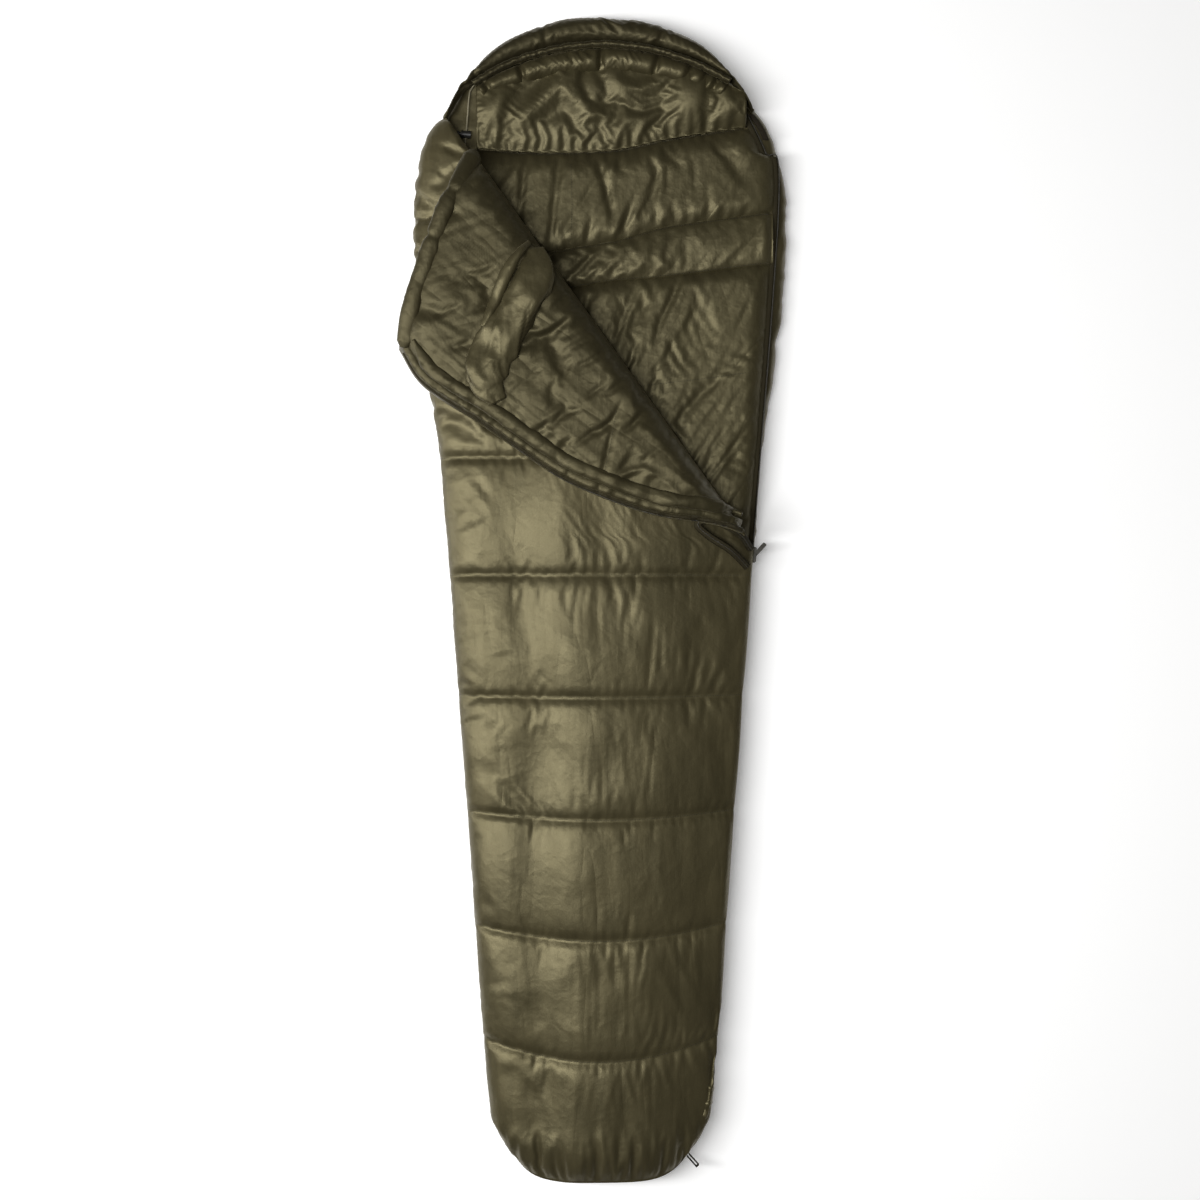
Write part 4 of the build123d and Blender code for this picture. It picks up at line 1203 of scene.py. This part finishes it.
def back_neck_baffle(material, thread):
    """The padded band across the back's lining."""
    rows, cols = 120, 24
    low, high = curve_through(BAND_LOW, rows)[8:], curve_through(BAND_HIGH, rows)[8:]
    t = np.linspace(0, 1, cols)
    plan = high[:, None] * (1 - t)[None, :, None] + low[:, None] * t[None, :, None]
    arch = np.sin(math.pi * t) ** 0.6
    x, y = plan[..., 0], plan[..., 1]
    z = 0.0500 + 0.0105 * arch[None, :] - 0.008 * bell(x, 0.326, 0.010)
    base = np.stack([x, y, z], -1)
    held = sewn(z.shape)
    left = np.clip((0.14 - x) / 0.16, 0, 1)
    lift = (0.0008 + 0.0050 * left) * creases(x, y, 48, 0.10, 0.022, 101)
    lift += 0.0025 * smooth_noise(x * 12, y * 14, 102)
    start = raised(base, held, arch * lift)
    top = relax(base, start, held, 0.004 + 0.03 * left, 0.012 + 0.02 * left, 100, 0.0, -0.006, 0.007, 0.3)
    obj = pad("back_baffle_cloth", top, flat_under(top, 0.038, 6), material, "bag")
    declare(obj, "lining_cloth", "back_baffle_cover", "back_baffle_fill", padding=0.5)
    lines = [top[2:-2, 1] + (0, 0, 0.0006), top[2:-2, -2] + (0, 0, 0.0006)]
    stitches("back_baffle_stitches", lines, thread, "bag")


# ---- zip, loops and cord -------------------------------------------------------------------
def side_zip(tape, coil):
    """The zip on the bag's right side: the back's half to the shoulder, the front's up to the fold."""
    bend = zip_line(700)
    wave = 0.0006 * smooth_noise(np.linspace(0, 60, 700), np.zeros(700), 111)
    back = np.column_stack([bend, 0.0445 + wave])
    zip_coil("zip_coil_back_teeth", back, coil, "bag", "zip_coil_back")
    inside = np.column_stack([moved_in(bend, 0.006), 0.0435 + wave])[10:]
    ribbon("zip_tape_back_cloth", inside, 0.011, 0.0015, tape, "bag", "zip_tape_back")
    front = back[back[:, 1] < 0.10] + (0, 0, 0.006)
    zip_coil("zip_coil_front_teeth", front, coil, "bag", "zip_coil_front")
    under = front + (-0.0045, 0, 0.003)
    ribbon("zip_tape_front_cloth", under, 0.009, 0.0015, tape, "bag", "zip_tape_front")


def tape_loops(tape, coil):
    """The slack end of the flap's zip, folded back like a hairpin before it runs down to the slider."""
    points = [
        (0.2845, 0.092, 0.064), (0.262, 0.119, 0.098), (0.226, 0.140, 0.110), (0.193, 0.147, 0.111),
        (0.181, 0.137, 0.109), (0.204, 0.116, 0.106), (0.244, 0.090, 0.100), (0.276, 0.060, 0.074),
    ]
    path = curve_through(points, 140)
    ribbon("zip_slack_tape", path, 0.014, 0.0018, tape, "bag", tilt=0.25)
    zip_coil("zip_slack_coil", path + (0.0, 0.0, 0.0016), coil, "bag", width=0.0012)


def loop_patch(material):
    """The soft half of a hook-and-loop fastener, sewn on beside the zip."""
    low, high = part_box("neck_loop_patch")
    u, v = np.meshgrid(np.linspace(-1, 1, 16), np.linspace(-1, 1, 60))
    y = (low.y + high.y) / 2 + v * 0.024
    x = half_width(y) + rim_bulge(y) - 0.0165 + u * 0.0055
    past_u, past_v = np.maximum(np.abs(u) - 0.4, 0) / 0.6, np.maximum(np.abs(v) - 0.85, 0) / 0.15
    corner = np.clip(np.hypot(past_u, past_v), 0, 1.4)
    z = 0.0428 + 0.0010 * (1 - corner**3) + 0.0004 * smooth_noise(x * 1400, y * 1400, 121)
    top = np.stack([x, y, z], -1)
    obj = pad("neck_patch_pile", top, flat_under(top, low.z, 4, 0.0), material, "bag")
    declare(obj, "webbing", "neck_loop_patch")


def drawcord(material):
    """The hood's drawcord where it leaves its channel, its free tail and the knot at its end."""
    start = Vector((-0.24983, 0.95745, 0.043))
    along = Vector((-0.0819, -0.9966, 0.0))
    inside = [(-0.212, 0.993, 0.052), (-0.232, 0.983, 0.047), (-0.244, 0.971, 0.043)]
    held = [tuple(start), tuple(start + along * 0.040), tuple(start + along * 0.092)]
    path = curve_through([*inside, *held], 120)
    run = tube("hood_drawcord_braid", sweep(path, CORD_R, 10), material, "bag")
    declare(run, "cord", "hood_drawcord")

    points = [
        (-0.2574, 0.8658, 0.0430), (-0.2591, 0.8448, 0.0430),
        (-0.2416, 0.8204, 0.0403), (-0.2248, 0.8034, 0.0391),
    ]
    data = bpy.data.curves.new("drawcord_tail_braid", "CURVE")
    data.dimensions = "3D"
    data.resolution_u = 16
    data.bevel_depth = CORD_R
    data.bevel_resolution = 3
    data.use_fill_caps = True
    spline = data.splines.new("NURBS")
    spline.points.add(len(points) - 1)
    for point, place in zip(spline.points, points):
        point.co = (*place, 1.0)
    spline.order_u = 3
    spline.use_endpoint_u = True
    data.materials.append(material)
    tail = bpy.data.objects.new("drawcord_tail_braid", data)
    bpy.context.collection.objects.link(tail)
    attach(tail, "bag")
    declare(tail, "cord", "drawcord_tail")

    low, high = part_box("drawcord_knot")
    centre = np.array((low + high) / 2)
    t = np.linspace(0, 2 * math.pi, 90)
    trefoil = [np.sin(t) + 2 * np.sin(2 * t), np.cos(t) - 2 * np.cos(2 * t), -1.1 * np.sin(3 * t)]
    knot_path = centre + np.stack(trefoil, 1) * 0.00078
    knot = tube("drawcord_knot_braid", sweep(knot_path, 0.0012, 10), material, "bag")
    declare(knot, "cord", "drawcord_knot")
    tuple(points[0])


def dress_hardware(metal, plastic, steel, webbing, pale):
    """Better materials for the CAD's own parts that stay as they are."""
    finishes = {
        "upper_slider": metal, "upper_pull": metal, "zip_bottom_stop": metal, "zip_top_stop": pale,
        "cord_lock_body": plastic, "cord_lock_button": plastic, "cord_lock_spring": steel,
        "foot_loop_right": webbing, "foot_loop_left": webbing,
    }
    for node, finish in finishes.items():
        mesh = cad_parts[node].data
        if len(mesh.materials) == 0:
            mesh.materials.append(finish)
        for k in range(len(mesh.materials)):
            mesh.materials[k] = finish


# ---- making it all -------------------------------------------------------------------------
def main():
    make_camera()
    cord = webbing_material("cord_braid", (0.42, 0.38, 0.27, 1.0), (0.20, 0.18, 0.12, 1.0), 0.0011)
    drawcord(cord)
    make_lights()
    make_floor()
    shell = cloth_material("shell_satin", OLIVE, OLIVE_DARK, 0.42, 0.22, 92)
    lining = cloth_material("lining_satin", LINING, LINING_DARK, 0.44, 0.34, 54)
    # The flap's lining material: the lining's colours made darker as painted shade.
    lining_painted_shade = cloth_material(
        "lining_satin_painted_shade", LINING_PAINTED_SHADE, LINING_PAINTED_SHADE_DARK, 0.46, 0.34, -38, 0.5,
    )
    hood_shell = cloth_material("hood_satin", HOOD_OLIVE, HOOD_OLIVE_DARK, 0.46, 0.26, 20, 0.5)
    thread = plain_material("thread", (0.022, 0.019, 0.010, 1.0), 0.7)
    tape = webbing_material("zip_tape_weave", (0.034, 0.029, 0.015, 1.0), (0.018, 0.015, 0.008, 1.0), 0.0009)
    coil = plain_material("zip_coil_nylon", (0.020, 0.017, 0.010, 1.0), 0.42)
    metal = plain_material("zip_metal_dark", (0.035, 0.033, 0.028, 1.0), 0.36, 0.8)
    plastic = plain_material("lock_plastic_black", (0.018, 0.017, 0.015, 1.0), 0.42)
    steel = plain_material("spring_steel_bright", (0.55, 0.55, 0.56, 1.0), 0.3, 1.0)
    pale = plain_material("stop_pale", (0.62, 0.60, 0.55, 1.0), 0.4)
    webbing = webbing_material(
        "webbing_black", (0.035, 0.031, 0.018, 1.0), (0.012, 0.011, 0.007, 1.0), 0.0012,
    )
    pile = webbing_material("patch_pile", (0.030, 0.022, 0.014, 1.0), (0.010, 0.008, 0.006, 1.0), 0.0007)
    back_body(shell)
    side_walls(shell)
    front_top, seam_rows = front_cloth(shell)
    lines = [front_top[i, 3:-3] for i in np.flatnonzero(seam_rows)[1:-1]]
    stitches("front_seam_stitches", lines, thread, "bag")
    flap_top = flap_cloth(lining_painted_shade)
    flap_neck_baffle(flap_top, lining)
    flap_zip(flap_top, lining_painted_shade, tape, coil)
    flap_draft_tube(flap_top, lining_painted_shade, thread)
    flap_hem(flap_top, lining_painted_shade)
    lining_top = back_lining(lining)
    lining_seams(lining_top, flap_top, thread)
    back_neck_baffle(lining, thread)
    hood_lining(lining)
    hood_brim(hood_shell)
    hood_channel(hood_shell, thread)
    hood_collar(lining)
    side_zip(tape, coil)
    tape_loops(tape, coil)
    loop_patch(pile)
    dress_hardware(metal, plastic, steel, webbing, pale)


main()
